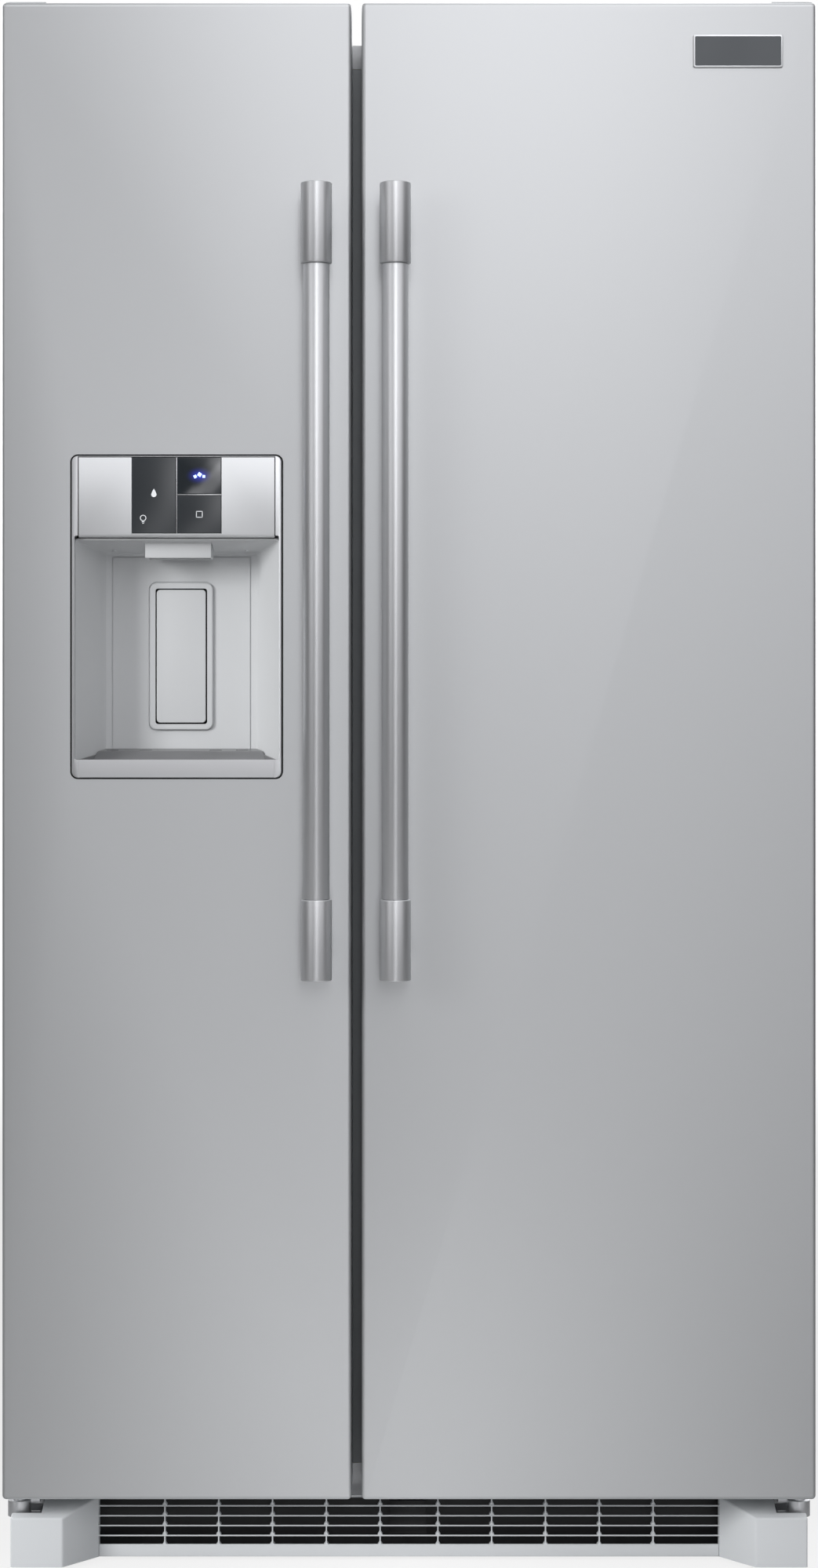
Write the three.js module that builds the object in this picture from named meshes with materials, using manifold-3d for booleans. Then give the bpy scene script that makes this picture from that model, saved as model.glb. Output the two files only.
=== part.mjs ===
// Side by side refrigerator with a through-the-door dispenser.
// Millimetres, +Z up, front towards -Y, +X to the right seen from the front.
// The origin is on the floor, under the middle of the whole appliance.
import * as THREE from "three";
import { mergeVertices } from "three/addons/utils/BufferGeometryUtils.js";
import { ConvexGeometry } from "three/addons/geometries/ConvexGeometry.js";
import Module from "manifold-3d";

const wasm = await Module();
wasm.setup();

// ---------------------------------------------------------------- driving dimensions
// Stock and clearances
const sheet = 0.8; // steel skins
const mould = 2; // moulded plastic walls
const linerWall = 1.5; // vacuum-formed cabinet liners
const gap = 0.3; // between pieces that touch

// Doors
const freezerDoorWidth = 391;
const fridgeDoorWidth = 508.5;
const doorSplit = 11.5; // between the two doors
const doorHeight = 1676.5;
const doorThickness = 76;
const doorBottom = 83.5; // above the floor
const doorCorner = 4; // corner radius seen from the front
const doorEdge = 6; // radius of the front's vertical folds
const skinReturn = 16; // fold of the skin over the top and bottom
const capHeight = 14; // plastic end caps
const gasketWidth = 16;
const gasketGap = 13; // door back to cabinet front
const dikeReach = 45; // rim of the door liner into the cabinet
const dikeWidth = 14;
const dikeHingeClear = 20; // dike to the cabinet liner on the hinge side
const dikeSwingClear = 26; // and on the side that swings out
const dikeEndClear = 14; // and at the top and bottom

// Cabinet
const cabinetDepth = 623;
const sideReveal = 5.5; // how far a door overhangs the cabinet's side
const topReveal = 29; // door tops above the cabinet's top
const cabinetFloor = 64; // underside of the cabinet above the floor
const sideFlange = 44; // front flange of the steel wrap
const topFlange = 27;
const bottomFlange = 40;
const sideWall = 48; // insulated walls, outside to inside
const roofWall = 31;
const floorWall = 46;
const backWall = 60;
const centreWall = 70;
const machineHeight = 266; // compressor space at the rear of the cabinet
const machineDepth = 200;
const machineWall = 50; // insulation around it

// Hinges
const pivotInset = 14; // hinge axis from the door's outer side
const pivotDepth = 45; // and behind the door's face
const pinRadius = 4;
const hingePlate = 3;
const hingeEnd = 12; // round end of the upper hinge
const bossRadius = 13; // round end of the lower hinge
const hingeWidth = 36;
const coverRise = 15; // hinge cover above the door tops
const coverWall = 1.5;

// Handles
const postRadius = 17.15;
const postLength = 89.5;
const barRadius = 14.5;
const handleStandoff = 45; // door face to the handle's axis
const handleInset = 37.9; // handle axis to the door's inner side
const handleLowPost = 585.2; // bottom of the lower post above the door's bottom
const handleSpan = 881.6; // bottom of the lower post to the top of the upper one

// Dispenser
const bezelWidth = 235;
const bezelHeight = 360.3;
const bezelBase = 808.6; // above the door's bottom
const bezelCorner = 7;
const bezelRim = 3;
const bezelDepth = 9.2;
const bezelProud = 1.2;
const bezelLip = 20.2; // front lip below the cavity
const fasciaHeight = 91.2;
const fasciaInset = 8; // fascia from the bezel's side
const keyPanelWidth = 100.7;
const keyPanelBase = 4.2; // fascia below the keys
const keyThickness = 5;
const keyTravel = 1;
const keyDivider = 1;
const keyGap = 0.4;
const cavityDepth = 75;
const cavityBackWidth = 174.5;
const cavityBackDrop = 11; // ceiling at the back below the ceiling at the front
const chuteWidth = 74.4;
const chuteDepth = 40;
const chuteBehind = 22; // chute outlet behind the door's face
const chuteDrop = 22; // outlet below the fascia
const paddleWidth = 55.9;
const paddleHeight = 151.7;
const paddleBase = 41.5; // above the cavity's front lip
const paddleThickness = 4;
const paddleSwingDepth = 24;
const surroundRim = 6.5;
const bulgeMargin = 14; // door liner's bulge around the dispenser

// Inside
const binDepth = 95;
const binHeight = 110;
const binWall = 2.5;
const shelfFrame = 14;
const shelfHeight = 12;
const shelfFront = 96; // shelf front behind the cabinet's front
const drawerFront = 124; // drawer fronts behind the cabinet's front
const drawerRear = 12; // drawer backs to the liner's step
const bucketFront = 86; // ice bucket's front behind the cabinet's front
const sideClear = 7; // drawers and shelves to the liner

// Base
const wheelRadius = 19;
const frontWheelRadius = 18;
const wheelWidth = 22;
const axleRadius = 4;
const grilleSetback = 60.5; // grille's louvres behind the door's face
const footSetback = 15; // corner feet behind the door's face
const footTop = 59;
const footSlope = 0.3; // rise of the foot's top towards the back
const footOuter = 7.3; // foot's outer side from the door's outer side
const footWidth = 58.6;
const footSplay = 36.7; // sideways run of the foot's angled face
const grilleClear = 4; // grille above the floor
const kickBand = 14;
const bladePitch = 11.3;
const bladeThickness = 1.6;
const bladeDepth = 14;
const bladeCount = 5;
const ribPitch = 61.3;
const ribCentreBay = 65.8;
const ribThickness = 1.3;
const grilleWall = 2.5;

// ---------------------------------------------------------------- derived planes
const span = freezerDoorWidth + doorSplit + fridgeDoorWidth;
const handleReach = handleStandoff + postRadius;
const depth = handleReach + doorThickness + gasketGap + cabinetDepth;
const doorFace = -depth / 2 + handleReach;
const doorBack = doorFace + doorThickness;
const cabinetFront = doorBack + gasketGap;
const cabinetRear = cabinetFront + cabinetDepth;
const doorTop = doorBottom + doorHeight;
const cabinetTop = doorTop - topReveal;
const halfCabinet = span / 2 - sideReveal;
const freezerDoor = { side: -1, x0: -span / 2, x1: -span / 2 + freezerDoorWidth };
const fridgeDoor = { side: 1, x0: span / 2 - fridgeDoorWidth, x1: span / 2 };
const splitX = (freezerDoor.x1 + fridgeDoor.x0) / 2;
const pivotY = doorFace + pivotDepth;
const skinBack = doorBack - mould - gap;
const dikeFace = doorBack + dikeReach;
const binFace = doorBack + binDepth;
const linerFloor = cabinetFloor + floorWall;
const linerTop = cabinetTop - roofWall;
const linerBack = cabinetRear - backWall;
const machineFront = cabinetRear - machineDepth;
const machineTop = cabinetFloor + machineHeight;
const stepBack = machineFront - machineWall;
const stepTop = machineTop + machineWall;
const freezerRoom = { x0: -halfCabinet + sideWall, x1: splitX - centreWall / 2 };
const fridgeRoom = { x0: splitX + centreWall / 2, x1: halfCabinet - sideWall };

// ---------------------------------------------------------------- solids
function solid(geometry) {
  geometry.deleteAttribute("normal");
  geometry.deleteAttribute("uv");
  const merged = mergeVertices(geometry, 1e-4);
  const vertProperties = merged.attributes.position.array;
  const triVerts = new Uint32Array(merged.index.array);
  return new wasm.Manifold(new wasm.Mesh({ numProp: 3, vertProperties, triVerts }));
}

function box(x0, x1, y0, y1, z0, z1) {
  const geometry = new THREE.BoxGeometry(x1 - x0, y1 - y0, z1 - z0);
  return solid(geometry.translate((x0 + x1) / 2, (y0 + y1) / 2, (z0 + z1) / 2));
}

// A box whose x runs inward from a hinge axis: side is -1 on the left door and 1 on the right.
function hingeBox(side, x, in0, in1, y0, y1, z0, z1) {
  const [a, b] = [x - side * in0, x - side * in1].sort((p, q) => p - q);
  return box(a, b, y0, y1, z0, z1);
}

function extrude(shape, length, segments) {
  const settings = { depth: length, bevelEnabled: false, curveSegments: segments };
  return new THREE.ExtrudeGeometry(shape, settings);
}

// Prisms of an outline: drawn in XY, in XZ and in YZ.
const prismZ = (shape, z0, z1, segments = 2) =>
  solid(extrude(shape, z1 - z0, segments).translate(0, 0, z0));

const prismY = (shape, y0, y1, segments = 2) =>
  solid(extrude(shape, y1 - y0, segments).rotateX(Math.PI / 2).translate(0, y1, 0));

const alongX = new THREE.Matrix4().makeBasis(
  new THREE.Vector3(0, 1, 0),
  new THREE.Vector3(0, 0, 1),
  new THREE.Vector3(1, 0, 0),
);
const prismX = (shape, x0, x1, segments = 2) =>
  solid(extrude(shape, x1 - x0, segments).applyMatrix4(alongX).translate(x0, 0, 0));

const outline = (points) => new THREE.Shape(points.map(([u, v]) => new THREE.Vector2(u, v)));

function roundedRect(u0, u1, v0, v1, r) {
  const shape = new THREE.Shape();
  shape.absarc(u1 - r, v0 + r, r, -Math.PI / 2, 0);
  shape.absarc(u1 - r, v1 - r, r, 0, Math.PI / 2);
  shape.absarc(u0 + r, v1 - r, r, Math.PI / 2, Math.PI);
  shape.absarc(u0 + r, v0 + r, r, Math.PI, 1.5 * Math.PI);
  shape.closePath();
  return shape;
}

// A round bar along Z, and the same bar turned along X or Y.
function rod(r, x, y, z0, z1, sides = 20) {
  const bar = new THREE.CylinderGeometry(r, r, z1 - z0, sides).rotateX(Math.PI / 2);
  return solid(bar.translate(x, y, (z0 + z1) / 2));
}

function rodX(r, x0, x1, y, z, sides = 20) {
  const bar = new THREE.CylinderGeometry(r, r, x1 - x0, sides).rotateZ(Math.PI / 2);
  return solid(bar.translate((x0 + x1) / 2, y, z));
}

function rodY(r, x, y0, y1, z, sides = 20) {
  return solid(new THREE.CylinderGeometry(r, r, y1 - y0, sides).translate(x, (y0 + y1) / 2, z));
}

// A block that tapers from one upright rectangle to another.
function taper(front, back) {
  const corners = [front, back].flatMap(({ x0, x1, z0, z1, y }) => [
    new THREE.Vector3(x0, y, z0),
    new THREE.Vector3(x1, y, z0),
    new THREE.Vector3(x0, y, z1),
    new THREE.Vector3(x1, y, z1),
  ]);
  return solid(new ConvexGeometry(corners));
}

// An open-topped tub.
function tub(x0, x1, y0, y1, z0, z1, wall) {
  const inside = box(x0 + wall, x1 - wall, y0 + wall, y1 - wall, z0 + wall, z1 + wall);
  return box(x0, x1, y0, y1, z0, z1).subtract(inside);
}

function mesh(parent, name, body, look) {
  const { vertProperties, triVerts } = body.getMesh();
  const geometry = new THREE.BufferGeometry();
  geometry.setAttribute("position", new THREE.BufferAttribute(vertProperties, 3));
  geometry.setIndex(new THREE.BufferAttribute(triVerts, 1));
  geometry.computeVertexNormals();
  const made = new THREE.Mesh(geometry, new THREE.MeshStandardMaterial(look));
  made.name = name;
  parent.add(made);
  return made;
}

// ---------------------------------------------------------------- finishes
const brushed = { color: 0xb2b5b8, roughness: 0.38, metalness: 1 };
const polished = { color: 0xc9cbcd, roughness: 0.2, metalness: 1 };
const painted = { color: 0x9a9ea1, roughness: 0.5, metalness: 0.4 };
const darkPaint = { color: 0x4b4e51, roughness: 0.5, metalness: 0.3 };
const zinc = { color: 0xb9bcbe, roughness: 0.45, metalness: 0.9 };
const silverPlastic = { color: 0xadb0b3, roughness: 0.45, metalness: 0.3 };
const greyPlastic = { color: 0x8f9396, roughness: 0.6, metalness: 0 };
const blackGlass = { color: 0x24282b, roughness: 0.12, metalness: 0 };
const whitePlastic = { color: 0xf1f2f2, roughness: 0.45, metalness: 0 };
const clearPlastic = { color: 0xdce6ea, roughness: 0.1, metalness: 0 };
const foam = { color: 0xe6d9a8, roughness: 0.95, metalness: 0 };
const sealRubber = { color: 0x6c7073, roughness: 0.8, metalness: 0 };
const blackMetal = { color: 0x1c1d1f, roughness: 0.5, metalness: 0.3 };

// ---------------------------------------------------------------- cabinet
function cabinetShell() {
  const t = sheet;
  const inner = halfCabinet - t;
  const front = cabinetFront + t;
  const panelFront = cabinetRear - t - gap;
  return box(-halfCabinet, halfCabinet, cabinetFront, cabinetRear, cabinetFloor, cabinetTop)
    .subtract(box(-inner, inner, front, cabinetRear + 1, cabinetFloor + t, cabinetTop - t))
    .subtract(
      box(
        -halfCabinet + sideFlange,
        halfCabinet - sideFlange,
        cabinetFront - 1,
        front + 1,
        cabinetFloor + bottomFlange,
        cabinetTop - topFlange,
      ),
    )
    .add(box(-inner - t / 2, inner + t / 2, machineFront - t, panelFront, cabinetFloor, machineTop))
    .subtract(box(-inner, inner, machineFront, cabinetRear + 1, cabinetFloor - 1, machineTop - t))
    .subtract(box(-inner, inner, front, machineFront - t, cabinetFloor + t, machineTop + 1));
}

// Outline of a compartment seen from the side, grown by a margin. It is open past the front.
function roomOutline(grow, frontY) {
  return outline([
    [frontY, linerFloor - grow],
    [stepBack + grow, linerFloor - grow],
    [stepBack + grow, stepTop - grow],
    [linerBack + grow, stepTop - grow],
    [linerBack + grow, linerTop + grow],
    [frontY, linerTop + grow],
  ]);
}

function cabinetLiner({ x0, x1 }) {
  const front = cabinetFront + sheet + gap;
  const t = linerWall;
  const lip = 9;
  return box(x0 - lip, x1 + lip, front, front + t, linerFloor - lip, linerTop + lip)
    .add(prismX(roomOutline(t, front), x0 - t, x1 + t))
    .subtract(prismX(roomOutline(0, front - 1), x0, x1));
}

function cabinetFoam() {
  const inner = halfCabinet - sheet - gap;
  const front = cabinetFront + sheet + linerWall + 2 * gap;
  const rear = cabinetRear - sheet - gap;
  const low = cabinetFloor + sheet + gap;
  let body = box(-inner, inner, front, rear, low, cabinetTop - sheet - gap).subtract(
    box(-inner - 1, inner + 1, machineFront - sheet - gap, rear + 1, low - 1, machineTop + gap),
  );
  for (const { x0, x1 } of [freezerRoom, fridgeRoom]) {
    const grow = linerWall + gap;
    body = body.subtract(prismX(roomOutline(grow, front - 1), x0 - grow, x1 + grow));
  }
  return body;
}

function rearPanel() {
  const half = halfCabinet - sheet - gap;
  const slotWidth = 90;
  const slotHeight = 6;
  let body = box(-half, half, cabinetRear - sheet, cabinetRear, cabinetFloor, cabinetTop - sheet - gap);
  for (const x of [-300, -180, 180, 300])
    for (let row = 0; row < 8; row++) {
      const z = cabinetFloor + 60 + row * 20;
      body = body.subtract(
        box(x - slotWidth / 2, x + slotWidth / 2, cabinetRear - 2, cabinetRear + 1, z, z + slotHeight),
      );
    }
  return body;
}

// ---------------------------------------------------------------- base
const railOuter = halfCabinet - 4;
const railThickness = 3;
const railLow = wheelRadius + axleRadius + 1; // clear above the rear axle
const railTop = cabinetFloor - gap;
const frontWheelY = cabinetFront + 60;
const rearWheelY = cabinetRear - 30;
const wheelX = railOuter - 34;
const legY = cabinetFront + 22;
const legX = railOuter - 22;
const legRadius = 5;
const panTop = railLow + railThickness;

function baseFrame() {
  const t = railThickness;
  const front = cabinetFront + 4;
  const rear = cabinetRear - 3;
  let body = box(-railOuter, railOuter, machineFront, rear, railLow, panTop)
    .add(box(-railOuter, railOuter, front, front + t, railLow + 8, railTop))
    .add(box(-22, 20, front - 8, front + 1, railLow, railTop - 2));
  for (const side of [-1, 1]) {
    const bar = (a, b, y0, y1, z0, z1) =>
      box(Math.min(side * a, side * b), Math.max(side * a, side * b), y0, y1, z0, z1);
    const fork = wheelWidth / 2 + 2;
    body = body
      .add(bar(railOuter - t, railOuter, front, rear, railLow, railTop))
      .add(bar(legX - 14, railOuter, front, legY + 14, railTop - t, railTop))
      .add(bar(wheelX - fork - t, wheelX - fork, frontWheelY - 16, frontWheelY + 16, 10, railTop))
      .add(bar(wheelX + fork, wheelX + fork + t, frontWheelY - 16, frontWheelY + 16, 10, railTop))
      .add(bar(wheelX - fork - t, railOuter, frontWheelY - 16, frontWheelY + 16, railTop - t, railTop))
      .add(bar(wheelX - fork - t, wheelX - fork, rearWheelY - 16, rear, 10, panTop))
      .add(bar(wheelX + fork, wheelX + fork + t, rearWheelY - 16, rear, 10, panTop))
      .subtract(bar(wheelX - fork, wheelX + fork, rearWheelY - 24, rear + 1, railLow - 1, panTop + 1))
      .subtract(rod(legRadius + 0.5, side * legX, legY, railTop - t - 1, railTop + 1, 12));
  }
  const bore = axleRadius + 0.5;
  return body
    .subtract(rodX(bore, -railOuter - 1, railOuter + 1, frontWheelY, frontWheelRadius + 0.5, 12))
    .subtract(rodX(bore, -railOuter - 1, railOuter + 1, rearWheelY, wheelRadius, 12))
    .add(fanMount());
}

// Fan motor on its bracket, which stands on the compressor pan.
const fanX = -70;
const fanY = machineFront + machineDepth / 2 - 8;
const fanZ = 118;
const fanRadius = 60;

function fanMount() {
  return box(fanX + 12, fanX + 15, fanY - 16, fanY + 16, panTop - 1, fanZ + 20).add(
    rodX(18, fanX + 14, fanX + 48, fanY, fanZ, 16),
  );
}

function condenserFan() {
  let body = rodX(16, fanX - 10, fanX + 10, fanY, fanZ, 16);
  const blades = 5;
  for (let i = 0; i < blades; i++) {
    const blade = new THREE.BoxGeometry(4, 34, fanRadius - 12)
      .translate(0, 0, (fanRadius + 12) / 2)
      .rotateZ(0.55)
      .rotateX((2 * Math.PI * i) / blades)
      .translate(fanX, fanY, fanZ);
    body = body.add(solid(blade));
  }
  return body;
}

function compressor() {
  const low = panTop + gap;
  const profile = [
    [0, low],
    [70, low],
    [70, low + 12],
    [84, low + 30],
    [86, low + 110],
    [74, low + 140],
    [44, low + 156],
    [0, low + 160],
  ].map(([r, z]) => new THREE.Vector2(r, z));
  const pot = new THREE.LatheGeometry(profile, 24).rotateX(Math.PI / 2);
  return solid(pot.translate(-240, machineFront + machineDepth / 2, 0));
}

function roller(r, z) {
  const fork = wheelWidth / 2 + 2 + railThickness;
  return rodX(r, -wheelWidth / 2, wheelWidth / 2, 0, z, 24).add(
    rodX(axleRadius, -fork - 1, fork + 1, 0, z, 12),
  );
}

function rearRollers() {
  const y = rearWheelY;
  const half = wheelWidth / 2;
  return rodX(wheelRadius, -wheelX - half, -wheelX + half, y, wheelRadius, 24)
    .add(rodX(wheelRadius, wheelX - half, wheelX + half, y, wheelRadius, 24))
    .add(rodX(axleRadius, -wheelX - half - 8, wheelX + half + 8, y, wheelRadius, 12));
}

function levellingLeg() {
  return rod(17, 0, 0, 0, 7, 20)
    .add(rod(9, 0, 0, 6, 18, 6))
    .add(rod(legRadius, 0, 0, 17, cabinetFloor - 6, 12));
}

// Grille with its louvres, its upright ribs and the splayed corner feet.
function toeGrille() {
  const recess = doorFace + grilleSetback;
  const footY = doorFace + footSetback;
  const outer = span / 2 - footOuter;
  const inner = outer - footWidth;
  const mouth = inner - footSplay;
  const top = grilleClear + kickBand + bladePitch * bladeCount;
  let body = box(-mouth, mouth, recess, recess + grilleWall, grilleClear, grilleClear + kickBand);
  for (let i = 1; i <= bladeCount; i++) {
    const z = grilleClear + kickBand + i * bladePitch - bladeThickness / 2 - 1.4;
    body = body.add(box(-mouth - 1, mouth + 1, recess, recess + bladeDepth, z, z + bladeThickness));
  }
  for (let i = 0; i < 5; i++)
    for (const side of [-1, 1]) {
      const x = side * (ribCentreBay / 2 + i * ribPitch);
      const half = ribThickness / 2;
      body = body.add(
        box(x - half, x + half, recess + 1, recess + bladeDepth - 1, grilleClear + 6, top - 1),
      );
    }
  for (const side of [-1, 1]) body = body.add(cornerFoot(side, { footY, recess, outer, inner, mouth, top }));
  return body;
}

function cornerFoot(side, { footY, recess, outer, inner, mouth, top }) {
  const w = grilleWall;
  const deep = recess + bladeDepth;
  const slope = (y) => footTop + footSlope * (y - footY);
  const flip = (points) => outline(points.map(([x, y]) => [side * x, y]));
  const plan = flip([[outer, footY], [inner, footY], [mouth, recess], [mouth, deep], [outer, deep]]);
  const hollow = flip([
    [outer - w, footY + w],
    [inner + w / 2, footY + w],
    [mouth + w, recess + w / 2],
    [mouth + w, deep + 1],
    [outer - w, deep + 1],
  ]);
  const profile = (y0, y1, drop, low) =>
    outline([[y0, low], [y1, low], [y1, slope(y1) - drop], [y0, slope(y0) - drop]]);
  const x0 = Math.min(side * outer, side * mouth) - 1;
  const x1 = Math.max(side * outer, side * mouth) + 1;
  const notchInner = outer - 34;
  return prismZ(plan, grilleClear, top + 8)
    .intersect(prismX(profile(footY - 1, deep + 2, 0, 0), x0, x1))
    .subtract(
      prismZ(hollow, grilleClear - 1, top + 8).intersect(
        prismX(profile(footY - 1, deep + 2, w, 0), x0, x1),
      ),
    )
    .subtract(
      box(
        Math.min(side * notchInner, side * (outer + 1)),
        Math.max(side * notchInner, side * (outer + 1)),
        footY + w + 9,
        deep + 1,
        footTop - 9,
        top + 9,
      ),
    );
}

// ---------------------------------------------------------------- hinges
const pivotX = (door) => (door.side < 0 ? door.x0 + pivotInset : door.x1 - pivotInset);
const hingeZ = doorTop + 1.5;
const upperHingeRear = cabinetFront + 92;

function upperHinge(door) {
  const x = pivotX(door);
  const s = door.side;
  const top = hingeZ + hingePlate;
  const riser = cabinetFront + 6;
  const low = cabinetTop + gap;
  const pinEnd = doorTop - sheet - gap - capHeight + 2;
  return rod(hingeEnd, x, pivotY, hingeZ, top)
    .add(hingeBox(s, x, -hingeEnd, hingeWidth - hingeEnd, pivotY, riser + hingePlate, hingeZ, top))
    .add(hingeBox(s, x, -5, hingeWidth - hingeEnd, riser, riser + hingePlate, low, top))
    .add(hingeBox(s, x, -5, hingeWidth - hingeEnd, riser, upperHingeRear, low, low + hingePlate))
    .add(rod(pinRadius, x, pivotY, pinEnd, hingeZ + 1, 16));
}

function hingeCover(door) {
  const x = pivotX(door);
  const w = coverWall;
  const crown = doorTop + coverRise;
  const front = pivotY - hingeEnd - 3;
  const rear = upperHingeRear + 8;
  const nose = hingeZ + hingePlate + w + 0.8;
  const low = cabinetTop + gap;
  const brow = pivotY + 18;
  const skirt = cabinetFront + 1;
  const outer = outline([
    [rear, low],
    [skirt, low],
    [skirt, hingeZ - 0.2],
    [front, hingeZ - 0.2],
    [front, nose],
    [brow, crown],
    [rear, crown],
  ]);
  const inner = outline([
    [rear - w, low - 1],
    [skirt + w, low - 1],
    [skirt + w, hingeZ - 1],
    [front + w, hingeZ - 1],
    [front + w, nose - w],
    [brow + w / 4, crown - w],
    [rear - w, crown - w],
  ]);
  const [a, b] = [x + door.side * (pivotInset - 0.5), x - door.side * (hingeWidth - hingeEnd + 4)];
  const [x0, x1] = [Math.min(a, b), Math.max(a, b)];
  return prismX(outer, x0, x1).subtract(prismX(inner, x0 + w, x1 - w));
}

function lowerHinge(door) {
  const x = pivotX(door);
  const s = door.side;
  const top = doorBottom - 10;
  const rear = cabinetFront - 0.5;
  const low = top - 18;
  const pinEnd = doorBottom + sheet + gap + capHeight - 2;
  return rod(bossRadius, x, pivotY, low, top)
    .add(hingeBox(s, x, -bossRadius, hingeWidth - bossRadius, pivotY, rear, top - 4, top))
    .add(hingeBox(s, x, 0, hingeWidth - bossRadius, pivotY + 8, rear, low, low + hingePlate))
    .add(hingeBox(s, x, 0, hingeWidth - bossRadius, rear - hingePlate, rear, 42, top))
    .add(rod(8, x, pivotY, top - 1, doorBottom - 0.5, 16))
    .add(rod(pinRadius, x, pivotY, top - 1, pinEnd, 16));
}

// ---------------------------------------------------------------- inside the cabinet
function shelf({ x0, x1 }, z, back) {
  const y0 = cabinetFront + shelfFront;
  const [a, b] = [x0 + sideClear, x1 - sideClear];
  const opening = box(a + shelfFrame, b - shelfFrame, y0 + shelfFrame, back - shelfFrame, z - 1, z + 7);
  return box(a, b, y0, back, z, z + shelfHeight).subtract(opening);
}

const crisperTop = 300;
const deliTop = 452;
const coverShelf = crisperTop + 6;
const bucketShelf = 1296;

function drawer(room, z0, z1, grip) {
  const y0 = cabinetFront + drawerFront;
  const y1 = stepBack - drawerRear;
  const [x0, x1] = [room.x0 + sideClear, room.x1 - sideClear];
  const middle = (x0 + x1) / 2;
  return tub(x0 + 4, x1 - 4, y0 + 8, y1, z0, z1, binWall)
    .add(box(x0, x1, y0 + 4, y0 + 10, z0, z1))
    .add(box(middle - grip / 2, middle + grip / 2, y0, y0 + 5, z1 - 30, z1 - 12));
}

function iceBucket() {
  const y0 = cabinetFront + bucketFront;
  const z0 = bucketShelf + shelfHeight + gap;
  const [x0, x1] = [freezerRoom.x0 + sideClear, freezerRoom.x1 - sideClear];
  const outlet = chuteWidth / 2 - 4;
  return tub(x0, x1, y0, linerBack - 60, z0, z0 + 165, binWall).subtract(
    box(dispenserX - outlet, dispenserX + outlet, y0 - 1, y0 + binWall + 1, z0 + 6, z0 + 60),
  );
}

function iceMaker() {
  const z0 = bucketShelf + shelfHeight + 190;
  const [x0, x1] = [freezerRoom.x0 + 30, freezerRoom.x1 - 40];
  const back = linerBack - 2;
  return box(x0, x1, back - 150, back, z0, z0 + 70)
    .subtract(box(x0 + 8, x1 - 60, back - 142, back - 8, z0 + 12, z0 + 71))
    .add(box(x1 - 52, x1, back - 165, back, z0 - 10, z0 + 95));
}

// ---------------------------------------------------------------- doors
// A block with rounded front folds and rounded corners seen from the front.
function roundedBlock(x0, x1, y0, y1, z0, z1, edge, corner) {
  const plan = new THREE.Shape();
  plan.moveTo(x1, y1);
  plan.lineTo(x0, y1);
  plan.absarc(x0 + edge, y0 + edge, edge, Math.PI, 1.5 * Math.PI);
  plan.absarc(x1 - edge, y0 + edge, edge, -Math.PI / 2, 0);
  plan.closePath();
  return prismZ(plan, z0, z1).intersect(prismY(roundedRect(x0, x1, z0, z1, corner), y0 - 1, y1 + 1));
}

function doorSkin({ x0, x1 }) {
  const t = sheet;
  const open = (z0, z1) => box(x0 + 3, x1 - 3, doorFace + skinReturn, doorBack, z0, z1);
  return roundedBlock(x0, x1, doorFace, skinBack, doorBottom, doorTop, doorEdge, doorCorner)
    .subtract(
      roundedBlock(
        x0 + t,
        x1 - t,
        doorFace + t,
        skinBack + 3,
        doorBottom + t,
        doorTop - t,
        doorEdge - t,
        doorCorner - t,
      ),
    )
    .subtract(open(doorTop - 2, doorTop + 1))
    .subtract(open(doorBottom - 1, doorBottom + 2));
}

function doorCap(door, atTop) {
  const inset = sheet + gap;
  const body = roundedBlock(
    door.x0 + inset,
    door.x1 - inset,
    doorFace + inset,
    skinBack - gap,
    doorBottom + inset,
    doorTop - inset,
    doorEdge - inset,
    doorCorner - inset,
  );
  const [z0, z1] = atTop
    ? [doorTop - inset - capHeight, doorTop]
    : [doorBottom, doorBottom + inset + capHeight];
  const slab = box(door.x0 - 1, door.x1 + 1, doorFace - 1, doorBack, z0, z1);
  return body.intersect(slab).subtract(rod(pinRadius + 0.5, pivotX(door), pivotY, z0 - 1, z1 + 1, 16));
}

// The rim of the door liner that stands into the compartment.
function dikeFrame(door) {
  const room = door.side < 0 ? freezerRoom : fridgeRoom;
  const [left, right] =
    door.side < 0 ? [dikeHingeClear, dikeSwingClear] : [dikeSwingClear, dikeHingeClear];
  return {
    x0: room.x0 + left,
    x1: room.x1 - right,
    z0: linerFloor + dikeEndClear,
    z1: linerTop - dikeEndClear,
  };
}

// recesses are the [z0, z1] stretches between the dikes, where the bins hang.
function doorLiner(door, recesses) {
  const d = dikeFrame(door);
  const t = mould;
  const panel = doorBack - t;
  const low = doorBottom + 2;
  const high = doorTop - 2;
  let body = box(door.x0 + 2, door.x1 - 2, panel, doorBack, low, high).add(
    box(d.x0, d.x1, panel, dikeFace, d.z0, d.z1),
  );
  let hollow = box(d.x0 + t, d.x1 - t, panel - 1, dikeFace - t, d.z0 + t, d.z1 - t);
  for (const [z0, z1] of recesses) {
    body = body.subtract(
      box(d.x0 + dikeWidth, d.x1 - dikeWidth, doorBack, dikeFace + 1, z0, z1),
    );
    hollow = hollow.subtract(
      box(d.x0 + dikeWidth - t, d.x1 - dikeWidth + t, panel - 2, dikeFace, z0 - t, z1 + t),
    );
  }
  return body.subtract(hollow);
}

function gasket(door) {
  const hingeSide = pivotInset + 16;
  const freeSide = 6;
  const [left, right] = door.side < 0 ? [hingeSide, freeSide] : [freeSide, hingeSide];
  const [x0, x1] = [door.x0 + left, door.x1 - right];
  const [z0, z1] = [doorBottom + 4.5, cabinetTop - 7];
  const w = gasketWidth;
  const ring = roundedRect(x0, x1, z0, z1, 6);
  ring.holes.push(roundedRect(x0 + w, x1 - w, z0 + w, z1 - w, 3));
  return prismY(ring, doorBack + gap, cabinetFront - gap);
}

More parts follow.
